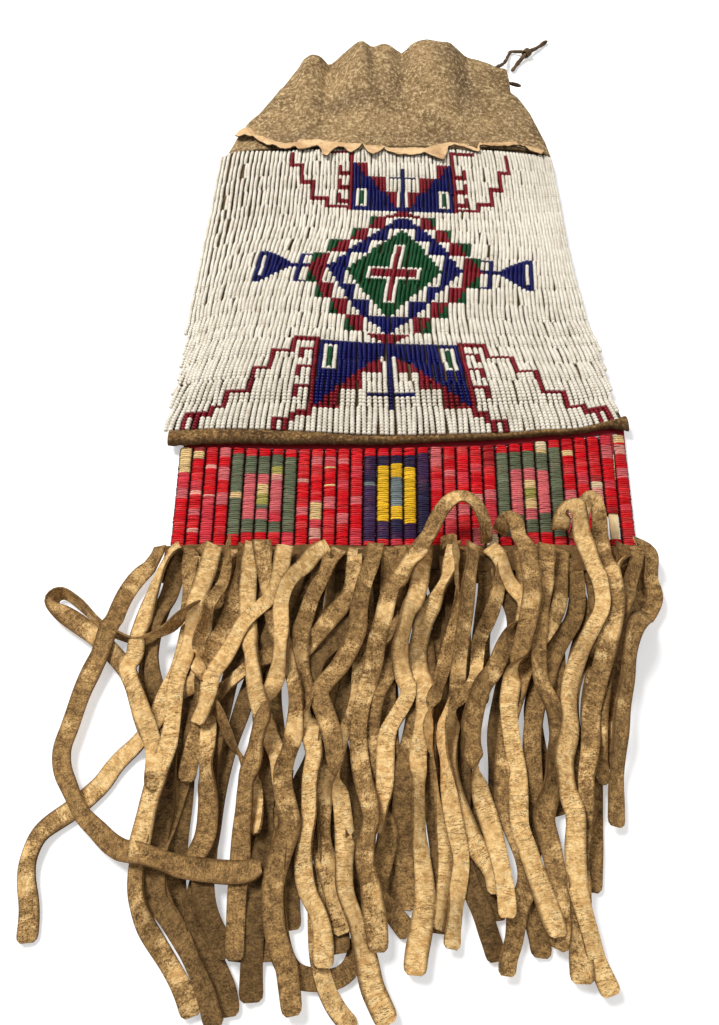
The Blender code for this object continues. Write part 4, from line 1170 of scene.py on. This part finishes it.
STRIPS = """
B b -84,-158 -87,-168 -90,-178 -92,-190 -92,-200 -91,-210 -88,-220 -84,-232
B b -74,-158 -76,-180 -78,-202 -77,-218 -75,-232 -74,-248 -74,-262 -73.5,-276 -70,-287
B b -49,-158 -50.5,-175 -51.5,-190 -51.5,-203 -50.5,-212 -50,-222 -49,-235 -50.5,-250 -50.5,-264
  -51.5,-280 -53,-297
B b -45,-158 -46,-175 -46.5,-200 -47,-215 -45,-230 -43.5,-240 -43,-252 -43.5,-265 -44,-280
  -43.5,-297
B b -33,-158 -36,-167 -39,-177 -41,-189 -42,-200
B b -31,-158 -33,-180 -33,-205 -30,-224 -31.5,-236 -36,-246 -36.5,-258 -38,-268 -38,-278
  -36.5,-288.5
B b -41,-240 -41.5,-262 -42,-280 -40,-293 -36,-299.5 -30,-301 -24,-301 -20,-299 -17.5,-295
  -16.5,-289
B b -22,-158 -24,-190 -25,-225 -24,-255 -24.5,-272 -23.5,-285 -22.5,-295
B t -27,-158 -28,-190 -28.5,-220 -29,-250 -29.5,-275 -29,-292 -27,-301 -24,-307 -20.5,-311
  -17.5,-313.5
B b -14,-158 -16,-178 -18.5,-195 -20,-207 -22.5,-219 -23.5,-229 -21,-240 -18.5,-252 -17.5,-264
  -17.5,-276 -15.5,-286
B b -9,-158 -10.5,-170 -11.5,-182 -12,-193 -11,-207
B b 11,-158 13,-169 14.5,-180 13,-192 11,-204 11,-216 11.5,-228
B b 17,-158 17,-175 16,-190 14.5,-204 12.5,-216 10.5,-230 11,-245 11.5,-258
B b 31,-158 32,-169 29.5,-182 27.5,-193 26.5,-205 25,-217
B b 35,-158 37,-168 40.5,-177 41.5,-186 39,-195 36.5,-203 33,-214 30,-226 29.5,-237 28.5,-248
  30,-258
B b 46,-158 47.5,-172 47.5,-190 46.5,-206 43.5,-219 43.5,-232 45,-244 48,-255
B b 53,-158 54.5,-172 55,-188 53.5,-203 52,-216 51.5,-229 51.5,-242
B b 61,-158 64,-169 66.5,-179 65.5,-190 61.5,-201 57.5,-212 56,-224 56,-240 54.5,-252
B b 72,-158 72.5,-175 71.5,-189 67.5,-203 64,-216 62.5,-229 61,-241 59,-254 57,-266 55,-278
B b 5,-158 6.5,-190 8,-218 6.5,-238 7.5,-254 9,-267 8.5,-279 7.5,-289.5
B b -6,-158 -6.5,-200 -6.5,-240 -6,-262 -6.5,-281
B b 17,-158 18,-200 17.5,-240 19,-257 21.5,-268 24,-278 25.5,-286
B b -38,-158 -48,-190 -56,-215 -62,-240 -64,-262 -66,-278 -64.7,-287.7 -61,-294.3 -57.6,-299.8
  -54.8,-305 -53.7,-311
B b -50,-158 -56,-180 -62,-205 -64,-225 -66,-243 -65,-251 -64.8,-258 -64.4,-267 -64.7,-273.7
  -63.2,-280.9 -61,-286 -58,-290.4 -55,-296
B b -66,-158 -68,-175 -70,-195 -71,-212 -72.8,-228.7 -73.5,-237 -74.6,-243 -76.2,-251 -77.8,-259
  -79,-265 -78,-275 -74,-284
B b -84,-158 -86,-163 -88,-174 -90.5,-184 -91,-196 -89,-208 -84,-220 -80,-235 -79,-250 -80,-265
  -78,-280 -75,-283 -70.6,-288.6 -67,-293.4 -63.5,-299 -60.2,-305 -57,-313.5
B p -76,-158 -74,-175 -73,-195 -73,-207 -74,-210 -80,-213 -84.7,-219 -85.7,-224 -84,-235 -83,-248
  -84,-260 -85,-271 -84,-279 -80.7,-286.8 -77,-291.6 -73,-296.4 -69,-301.6 -65.5,-307 -64,-311
B p -77,-158 -77.5,-175 -79,-195 -83,-212 -86,-224 -89.5,-229.3 -94,-233 -98.5,-238.7 -101,-243.7
  -105.4,-248.6 -110,-252.8 -115,-256.4 -118.5,-260 -119.8,-264 -120.5,-269 -119.5,-274.7
  -117.4,-280.4 -116.3,-286 -115.6,-292
B b 22,-158 21,-185 20,-215 17,-240 15,-262 16.9,-274.2 18.5,-279 20.3,-283 21.9,-288 23.2,-292
  24,-297
B b 4,-158 3,-175 -5,-190 -7,-215 -5.3,-241 -5.7,-248.6 -6.4,-255.4 -7.5,-261.5 -8.9,-267.5
  -10.2,-273 -12,-283
B b 1.4,-158 0,-163 -2,-170 -3,-182 -1,-195 3,-210 2,-225 -2,-240 -2.9,-254 -2.3,-269 -1.8,-276
  -3.2,-283
B b -5,-158 -6,-175 -4,-192 -3.3,-200.5 -7.5,-207.5 -11,-215.6 -13,-230 -10,-253 -7.5,-261
  -8.9,-267.5 -11.3,-278.6 -7.4,-282.3 -4,-286 -1,-289.6
B p -14,-158 -14.5,-170 -14,-182 -15,-190 -15.7,-196 -16.3,-204.4 -17,-213.7 -18.4,-220 -20.3,-226
  -23,-231.5 -24.7,-237 -28,-248 -29,-262 -25,-275 -21,-290
B b -14,-158 -16,-170 -18,-182 -21,-188 -27.5,-196 -32,-201.5 -34,-210 -36,-225 -45,-238 -47,-254
  -46,-259 -46.8,-265 -48,-276 -48,-287 -48.2,-290 -48,-301 -47.5,-307.5
F b -81,-153 -81,-163 -80,-174 -79,-186
F b -78,-153 -76,-155.5 -72,-159 -69.5,-164 -68,-170
F b -47,-153 -47.5,-165 -48,-176 -46,-187 -43,-196
F b -4,-153 -3,-164 -2,-176 -4,-188 -8,-198
F b 3,-152.5 4,-163 4.5,-175 2,-187
F b 46,-152.5 46.5,-163 47,-175 45,-187 41,-198
F b 50.5,-152 51.5,-162 52,-174 50,-186 46,-197
F b 74,-152.5 74.5,-165 74,-178 72,-190 70,-202
F b 80,-152.5 79,-164 77.5,-176 75,-188 73,-200
F b 84,-152.5 83.5,-162 81,-173 78,-184
F b 23,-152.5 23,-163 21.5,-175 19,-188
F b -18,-152.8 -18.5,-167 -19.5,-175 -26.3,-184 -31,-191.5 -35.5,-196.5 -39.6,-199.5 -46,-200
  -52,-203 -58,-206.5 -63,-210.5 -67,-215 -70,-222 -72,-232 -73,-245
B b 66,-158 66,-168 64.5,-177.6 62.2,-184.5 57.6,-191.4 53.8,-197.3 50.7,-203 48.7,-208 45,-216
  42,-228 41,-238 40,-250 39,-262 36,-272 35.3,-278.5 35.8,-283 36.8,-287.7 37.3,-291.6 37,-296
B t 91,-158 88.5,-161 83.3,-163 79,-167 77.4,-174 76.7,-181 74,-190 70,-205 68,-221 67,-232
B b 87,-158 91.5,-165 91,-171 87,-177.6 82.5,-182 79,-190 77,-200 73.5,-208 71,-214 68,-222 66,-232
  64,-240
B b 88,-158 87,-163 85,-169 81,-177.6 76.4,-186.6 72.7,-194 69.8,-202 67.3,-209.4 65.4,-217
  64,-224.6 63,-233 62.5,-241 62,-246
F e -64,-152.8 -66,-170 -71,-180 -79,-185.5 -88,-192 -94,-194 -101,-192 -110,-187 -120,-178
  -128,-173 -131.5,-177 -126.5,-181.5 -118.5,-187 -111,-192.5 -102.5,-200.5 -96.5,-208 -91,-222
  -86,-231
F b -60,-152.8 -60,-167 -62.5,-178 -65.5,-188 -69.5,-198 -71,-210 -68,-222 -67,-235 -66,-243
  -65,-251 -64.8,-258 -65.3,-263 -68,-270
F p -72,-152.8 -73.4,-162 -75,-175.5 -76.3,-188 -78,-198.7 -80.3,-209 -80,-220 -80,-232 -81,-241
  -82,-248.6 -83.5,-256.4 -84.5,-264 -84,-270
F p -57,-152.8 -58,-172 -57.5,-184 -56.8,-191 -55,-200 -53.4,-209 -51.4,-217 -48.5,-224.5 -46,-231
  -43.4,-236.5 -42,-245 -40.5,-250 -38.4,-258
F bp -24,-152.8 -27.3,-161 -29,-167 -33.2,-174 -36,-182.7 -37.6,-191 -37.8,-199 -37.6,-205.5
  -35,-213.7 -33.5,-221.6 -32.7,-229 -31.3,-237 -32.4,-245 -32.4,-251 -32.5,-257 -33.3,-262.5
  -34,-270 -32.5,-277.5 -29.8,-282.3 -27.9,-286.8 -27.2,-292 -27,-299
F t -66,-152.8 -66.5,-167 -70,-180 -73,-192 -73,-199 -72,-208 -68.4,-215.6 -63.7,-222.8 -58.8,-232
  -53.5,-239 -50,-249 -49,-262
F b -54,-152.8 -52,-164.5 -49.8,-174 -48.2,-180 -47,-187 -44,-196 -40.8,-205 -38.7,-214 -38,-222.8
  -38.5,-230 -40,-237 -41.6,-243 -40,-252 -38.4,-259 -40.2,-265 -41.9,-271 -42.9,-277 -42.3,-284
  -41,-291 -38,-297 -36.9,-302 -35.4,-311
F p -45,-152.8 -45.5,-166 -47,-175 -50,-180 -55,-183.5 -59,-188 -63.7,-198.7 -67,-207.7 -68,-218
  -72,-226
F pb -28,-152.8 -33,-157 -36.7,-163 -41,-170 -43.7,-175.7 -45,-183 -44.2,-191 -44,-200 -46,-212
  -49,-225 -51.5,-238 -53,-246 -53,-254 -53.5,-262 -53.5,-275 -53.5,-288 -53,-297
F p 20,-152.8 17,-165 16.4,-170.6 12,-177 8.6,-184 6,-190 4.2,-198 4.5,-206 6,-214 5,-225 3,-235
  2.4,-245 2.2,-259 2.7,-265 3.4,-273.7 3.4,-280 2.4,-285.5 1.3,-290 0,-295.6 -0.6,-300.8
F t 14,-151 18,-153 19.4,-157 18.8,-166 18.8,-176 19.3,-183 17.3,-190 15,-198.6 12.8,-205
  10.7,-212.5 8,-220 6,-230 7.8,-241 8.4,-249.7 9.5,-255.4 10.4,-261.5 10.5,-269 9.6,-275.6
  8.5,-282 7.2,-289
F bp 27.5,-152 26,-161.5 24.2,-170.6 22,-180.5 20.6,-190 19.2,-197 18,-205 17,-216 14,-228 13,-241
  13.6,-248.6 15.4,-254.4 17.7,-260 20.4,-265 23.1,-269 25.2,-272.8 25.3,-279
F t 38,-152.8 37,-165 35.4,-173 32.7,-180.5 29.6,-187.3 26.6,-193.4 25.2,-200.5 24.2,-208
  20.4,-214.3 15.5,-218.5 12,-223 10.3,-229 11,-240 13,-255 15,-268 13.3,-277.5 12.4,-283 11.4,-289
  10.6,-294
F bp -10,-153 -12,-165 -15,-174 -16.8,-183 -17,-189.5 -20,-197.3 -23.6,-204 -28,-210 -30.5,-215.6
  -29,-220.5 -27,-226 -25.3,-231.5 -24,-241 -22.7,-248.6 -21.6,-256.4 -21,-264 -21,-276.6
  -19.3,-282 -16.8,-288 -15.2,-293 -14,-298 -13,-303 -11,-307 -8,-313
F p 9,-152.8 6,-170.5 3.9,-180 1.1,-188 -0.6,-195 -2.2,-201 -1,-209 0.8,-214 -1.7,-218.6 -5,-224
  -7.5,-230 -8,-240 -8.4,-247.6 -10,-253.4 -12,-262
F b 61.5,-152 60.6,-158.5 59,-169 57.2,-179 53.3,-187 49,-193.4 45.4,-198.7 42.2,-205 39,-212
  35,-221 32.7,-230.5 31.3,-239 31,-246 30.5,-250 31.5,-256 34.5,-266 35.3,-272 34,-277.5 31,-282
  29.8,-287.7 28.6,-292 26.6,-296.4 26,-301
F b 55.5,-150 55,-154 55,-160 53.5,-164.4 51.8,-173.5 49.5,-181.7 48.4,-188.5 47,-198 46.5,-208
  47,-212 48.8,-217.4 50.9,-222 51,-227.5 49.4,-233 47,-240 45,-248 42.2,-255.4 43,-262 43.8,-268
  44.2,-274 44.7,-279.4 45,-284.6 43.3,-290 41.5,-294
F b18 33,-152 31,-148 26,-141 20,-139 14,-144 9.5,-153 5.2,-162 0.5,-169 -4,-176 -6.3,-183
  -8.2,-191 -10.4,-197 -11.4,-204 -14,-212 -16,-220 -17,-232 -15,-245 -12.3,-258 -13.8,-263
  -14.7,-269 -13,-276 -12.4,-281 -11.5,-288 -11,-295
F pbp 33,-152 36.4,-160 39.5,-168 42.6,-174 44.5,-179 44,-184 40,-189.4 35.5,-195.3 32.5,-202
  29,-208 25,-214 22.2,-221.5 20.7,-228.6 21,-236 22,-243 23.2,-250 24.8,-256.4 26,-262 27,-269
  27.6,-275 27.8,-281 27.5,-286
F bp11 38,-147 41,-143 43.8,-146 44,-154 45.7,-161.5 46.2,-169 46.5,-177.6 44.5,-186 42,-195
  38,-206 35,-216 34.5,-228 35.5,-240 35,-248 34.2,-256 34.2,-260 36,-266 37.4,-271.4 38.9,-276
  40.3,-281 41.4,-285.5 42.5,-291
F b 88,-152 91.9,-152 94.4,-156 93.2,-161.5 93.6,-169 94.2,-175.5 90.4,-182 84.8,-188 80.2,-193.4
  77.6,-200 76.4,-207.5 74,-215.5 71.4,-223 69.5,-230.5 67.8,-240 66.5,-249 65.5,-255.5 65,-259
F b14 68,-150 69.5,-143 72.5,-137 75,-139 76,-146 75.5,-152 75.2,-160 75.3,-169 74.8,-177.6 74,-186
  70,-198 66,-210 62,-222 60,-234 57,-243 56.3,-250 55,-256.4 53,-263 51,-269 50.7,-275 50.2,-281
  49.2,-288 48.4,-294 47.8,-303
F p12 61,-148 63.2,-142 66.2,-149 68,-158 69.4,-166 69.6,-173 70,-180 69.2,-187 65.7,-193 62,-199
  59.2,-205 57,-211 55.5,-218 54.8,-225 53,-231 50.6,-237.5 50.5,-248 52,-254 51.5,-260 50.3,-267
  50,-278 51,-286 52,-291 53,-296.4 54.6,-301.6 56,-306
F p -85,-153 -88,-156 -92.7,-169 -95.7,-183 -96.5,-194 -96.5,-200 -98.3,-204.5 -96,-209.5
  -93,-215.5 -90,-222 -87,-228 -84,-236 -81,-250
F b -93,-152.8 -94,-159 -100,-166 -104,-174 -106,-182 -108,-194 -111,-205 -113,-213 -114,-220
  -115,-227 -116,-233 -114.5,-240 -111,-246 -108,-251 -105,-255 -100,-259 -94,-264 -87,-267
  -80,-269 -67,-271.5 -60,-272 -52,-272.5 -46,-271
"""

# Height of what already lies under a strip, in squares of a millimetre: for the back layer, and
# with the front header for the front layer
GROUND_X, GROUND_Y, GROUND_ROWS, GROUND_COLUMNS = -150.0, -335.0, 215, 275
map_y, map_x = np.mgrid[0:GROUND_ROWS, 0:GROUND_COLUMNS]
map_x, map_y = map_x + GROUND_X, map_y + GROUND_Y
inside = np.abs(map_x - 1) < 93
ground = np.where(inside & (map_y > -154), 2.9, 0.0)
upper_ground = np.where(inside & (map_y > -163.5) & (map_y <= -154), 3.6, ground)
ground[inside & (map_y > -167) & (map_y <= -159)] = 1.25
random = np.random.default_rng(21)
STRIP_STEP, STRIP_WIDTH, STRIP_THICK, STRIP_TOP = 1.5, 3.2, 0.45, -154.2
PILE_TOP, BEDDED = 16.0, 0.1
HEADER_LEFT, HEADER_RIGHT, HEADER_STATIONS = -92, 92.5, 63
# Half of a strip's section, and the least height of a strip of each layer at its header
SECTION = np.array([-1, -0.62, 0, 0.62, 1])
ROUND = 2 * len(SECTION)
START = {"F": 3.7, "B": 1.3}


def softened(values, reach):
    """Values along a strip, averaged over a reach of points."""
    kernel = np.hanning(2 * int(reach) + 3)[1:-1]
    kernel /= kernel.sum()
    pad = len(kernel) // 2
    return np.convolve(np.pad(values, pad, mode="edge"), kernel, mode="valid")


def looked_up(heights, x, y):
    """Height at a place, and the square it lies in."""
    c = np.clip(np.round(x - GROUND_X).astype(int), 0, GROUND_COLUMNS - 1)
    r = np.clip(np.round(y - GROUND_Y).astype(int), 0, GROUND_ROWS - 1)
    return heights[r, c], r, c


def strip_roll(faces_up, along, phase):
    """How far a strip is turned over along its way."""
    roll = 0.26 * np.sin(along / 23 + phase[2]) + 0.14 * np.sin(along / 9 + phase[3])
    faces = faces_up.replace("t", "bp").replace("e", "b")
    for k in range(1, len(faces)):
        if faces[k] != faces[k - 1]:
            at = along[-1] * (k / len(faces) + random.uniform(-0.08, 0.08))
            roll += np.pi * random.choice([-1, 1]) * smooth_step((along - at) / 16 + 0.5)
    if "t" in faces_up:
        roll += 1.15 * np.sin(along / 34 + phase[4]) + 0.5 * np.sin(along / 15 + phase[5])
    if "e" in faces_up:
        roll += 1.2 * smooth_step((along - 12) / 20) * (1 - smooth_step((along - 95) / 20))
    return roll + np.pi * (faces[0] == "p")


def strip_rest(heights, edge_x, edge_y, width, roll):
    """Height at which a strip rests on what lies under it, and its roll on that slope."""
    base = np.stack([looked_up(heights, x, y)[0] for x, y in zip(edge_x, edge_y)], 1)
    lay = softened(base.max(1), 4)
    lay = np.maximum(lay, softened(np.sort(base, 1)[:, 4], 1) - 0.1)
    tilt = softened(np.arctan2(base[:, 4:].mean(1) - base[:, :3].mean(1), width * 1.2), 5)
    roll = roll + np.clip(tilt, -0.5, 0.5)
    rest = lay + STRIP_THICK + 0.1 + np.abs(np.sin(roll)) * width * 0.92
    return softened(rest, 2), roll


def fringe_strip(line, faces_up, arch, layer):
    """One cut strip laid over what is already there; returns points, faces, face marks,
    the lay of every point and the strip's area."""
    line = smooth_route(np.asarray(line), STRIP_STEP)
    count = len(line)
    along = np.arange(count) * STRIP_STEP
    to_tip = along[-1] - along
    x, y = softened(line[:, 0], 2), softened(line[:, 1], 2)
    tx, ty = np.gradient(x), np.gradient(y)
    nx, ny = ty / np.hypot(tx, ty), -tx / np.hypot(tx, ty)
    phase = random.uniform(0, 6.28, 6)
    width = STRIP_WIDTH * (1 + 0.09 * np.sin(along / 17 + phase[0])
                           + 0.05 * np.sin(along / 6 + phase[1]))
    width *= np.minimum(1, 0.90 + to_tip / 30) * np.minimum(1, 0.66 + 0.25 * np.sqrt(to_tip))
    if "t" in faces_up:
        width *= 0.8
    roll = strip_roll(faces_up, along, phase)
    w = np.linspace(-1, 1, 7)[:, None] * width
    rest, roll = strip_rest(upper_ground if layer == "F" else ground, x + nx * w, y + ny * w,
                            width, roll)
    rest = np.maximum(rest, START[layer] + STRIP_THICK * (along < 6))
    if arch:
        rest = rest + (arch - 3) * np.sin(np.pi * np.clip(along / 46, 0, 1) ** 0.55) ** 1.3
    cup = (0.10 + 0.12 * np.sin(along / 13 + phase[4])) * width
    ridge = 0.10 * np.sin(along[:, None] / 3.1 + SECTION * 2 + phase[5])
    bow = cup[:, None] * (SECTION ** 2 - 0.35) + ridge
    w = SECTION * width[:, None]
    c, s = np.cos(roll)[:, None], np.sin(roll)[:, None]
    rows = []
    for side in (1, -1):
        b = bow + np.where(np.abs(SECTION) == 1, 0.85, 1.0) * STRIP_THICK * side
        out, up = w * c - b * s, w * s + b * c
        rows.append(np.stack([x[:, None] + nx[:, None] * out, y[:, None] + ny[:, None] * out,
                              rest[:, None] + up], 2))
    loop = np.concatenate([rows[0], rows[1][:, ::-1]], 1)
    lowest = loop[:, :, 2].min(1)
    loop[:, :, 2] += softened(np.maximum(0, 0.05 - lowest), 1)[:, None]
    loop[:, :, 2] = np.maximum(loop[:, :, 2], 0.03)
    for px, py, pz in np.concatenate(rows, 1).transpose(1, 2, 0):
        for grid in (ground, upper_ground):
            _, r, c = looked_up(grid, px, py)
            np.maximum.at(grid, (r, c), np.minimum(pz, PILE_TOP) - BEDDED)
    own = random.uniform(0, 1)
    quads = [(r * ROUND + k, (r + 1) * ROUND + k, (r + 1) * ROUND + (k + 1) % ROUND,
              r * ROUND + (k + 1) % ROUND) for r in range(count - 1) for k in range(ROUND)]
    quads += [tuple(range(ROUND)), tuple((count - 1) * ROUND + k for k in reversed(range(ROUND)))]
    # Brown side, cut edges and pale side of every ring, then both ends
    marks = ([own * 0.35] * 4 + [0.0] + [0.75 + own * 0.4] * 4 + [0.0]) * (count - 1) + [0.5] * 2
    lay = np.stack([np.concatenate([w, w[:, ::-1]], 1),
                    np.broadcast_to(along[:, None], (count, ROUND)),
                    np.full((count, ROUND), 40 * own)], 2)
    return (loop.reshape(-1, 3), quads, marks, lay.reshape(-1, 3),
            2 * width.mean() * along[-1])


def fringe_header(y_low, y_high, z_low, z_high, flat_depth):
    """Whole top of a fringe, slightly wavy, in the same five parts as a strip."""
    across = np.linspace(HEADER_LEFT, HEADER_RIGHT, HEADER_STATIONS)
    wavy = 0.5 * np.sin(across / 7)
    y = np.stack([y_low + wavy, np.full_like(across, (y_low + y_high) / 2), y_high + wavy])
    x = np.broadcast_to(across, y.shape)
    points, faces = closed_sheet(np.stack([x, y, z_high + 0.12 * np.sin(x / 3.3)], 2),
                                 np.stack([x, y, np.full_like(x, z_low)], 2))
    return (points, faces, [0.0] * len(faces), points,
            (HEADER_RIGHT - HEADER_LEFT) * flat_depth)


def fringe_material():
    """Cracked pale grain on one side, brown nap on the other, mixed in broad patches, with painted
    shade on the back layer and at the strip edges.
    """
    finish, tree, shader = new_material("fringe_hide")
    side, lay, place = mark(tree, "grain_side"), mark(tree, "lay", "Vector"), object_place(tree)
    low_down = along_axis(tree, place, "Y")
    broad = noise(tree, stretched(tree, lay, (0.6, 1.0, 1.0)), 0.085, 4.0, 0.62, 0.4)
    blotch = noise(tree, lay, 0.42, 4.0, 0.66, 0.3)
    grit = noise(tree, lay, 1.7, 3.0, 0.75)
    wrinkle = noise(tree, stretched(tree, lay, (0.45, 2.2, 1.0)), 0.62, 4.0, 0.62, 0.5)
    off = maths(tree, "ABSOLUTE", maths(tree, "SUBTRACT", wrinkle, 0.5))
    crack = maths(tree, "MULTIPLY", remapped(tree, off, 0.0, 0.018, 1.0, 0.0),
                  remapped(tree, broad, 0.47, 0.60, 1.0, 0.3))
    pale = blended(tree, remapped(tree, blotch, 0.38, 0.56), (0.65, 0.37, 0.13),
                   (0.92, 0.61, 0.262))
    pale = laid_tones(tree, blotch, pale, (0.56, 0.68, 0.8, (0.97, 0.73, 0.38)))
    pale = laid_tones(tree, grit, pale, (0.60, 0.68, 0.8, (0.26, 0.14, 0.05)))
    pale = blended(tree, crack, pale, (0.14, 0.065, 0.02))
    brown = blended(tree, remapped(tree, blotch, 0.38, 0.62), (0.185, 0.100, 0.036),
                    (0.47, 0.270, 0.095))
    brown = laid_tones(tree, grit, brown, (0.53, 0.66, 0.6, (0.64, 0.41, 0.17)),
                   (0.47, 0.36, 0.7, (0.075, 0.038, 0.013)))
    # Painted shade: where the mark is below zero, on the back layer, the brown is darkened further
    brown = blended(tree, remapped(tree, side, -0.3, 0.0, 0.6, 0.0), brown, (0.05, 0.026, 0.009))
    # Pale where the grain side is up, in patches, less so in the lower left corner, made browner
    # there partly as painted shade
    paleness = maths(tree, "ADD", maths(tree, "MULTIPLY_ADD", broad, 2.4, -1.2),
                     maths(tree, "MULTIPLY_ADD", grit, 1.3, -0.65))
    paleness = maths(tree, "ADD", paleness, remapped(tree, low_down, -0.19, -0.29, 0.10, 0.12))
    lower_left_brown_and_shade = maths(tree, "MULTIPLY",
                    remapped(tree, along_axis(tree, place, "X"), -0.02, -0.05, 0.0, -0.45),
                    remapped(tree, low_down, -0.23, -0.27))
    paleness = maths(tree, "ADD", maths(tree, "ADD", paleness, lower_left_brown_and_shade), side)
    tone = blended(tree, remapped(tree, paleness, 0.36, 0.66), brown, pale)
    # Painted shade along both edges of every strip, where it meets the strips beside and under it,
    # with some grime of the cut edges
    from_middle = maths(tree, "ABSOLUTE", along_axis(tree, lay, "X"))
    tone = laid_tones(tree, from_middle, tone, (2.35, 3.3, 0.8, (0.14, 0.072, 0.024)))
    relief = maths(tree, "MULTIPLY_ADD", blotch, 1.5, maths(tree, "SUBTRACT", grit, crack))
    surfaced(tree, shader, tone, 0.85, 0.15, relief, 0.8, 0.00022)
    return finish


strip_hide = fringe_material()
# How far the back layer's marks are lowered, so that its strips under the front ones are darkened
# as painted shade
BACK_LAYER_PAINTED_SHADE = 0.34
layers = {"F": [fringe_header(-163.2, -152.1, 2.35, 3.45, 9.3)],
          "B": [fringe_header(-166.8, -159.9, 0.05, 1.15, 6.9)]}
for entry in STRIPS.replace("\n  ", " ").strip().splitlines():
    layer, kind, *places = entry.split()
    faces_up = kind.rstrip("0123456789")
    arch = int(kind[len(faces_up):] or 0)
    route = [tuple(float(v) for v in place.split(",")) for place in places]
    if not arch:
        route = [(x, min(y, STRIP_TOP - 0.2 * k)) for k, (x, y) in enumerate(route)]
    layers[layer].append(fringe_strip(route, faces_up, arch, layer))
for layer, name, node in (("F", "fringe_front_layer", "front_fringe"),
                          ("B", "fringe_back_layer", "back_fringe")):
    points, faces, marks, lays, areas = zip(*layers[layer])
    firsts = np.cumsum([0] + [len(p) for p in points])
    piece = mesh_piece(name, np.concatenate(points),
                       [tuple(i + int(first) for i in f) for first, part in zip(firsts, faces)
                        for f in part], strip_hide)
    piece.data.set_sharp_from_angle(angle=math.radians(50))
    marks = np.concatenate(marks) - BACK_LAYER_PAINTED_SHADE * (layer == "B")
    add_marks(piece.data, "FACE", grain_side=marks)
    add_marks(piece.data, lay=np.concatenate(lays))
    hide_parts(node)
    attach(piece, "root")
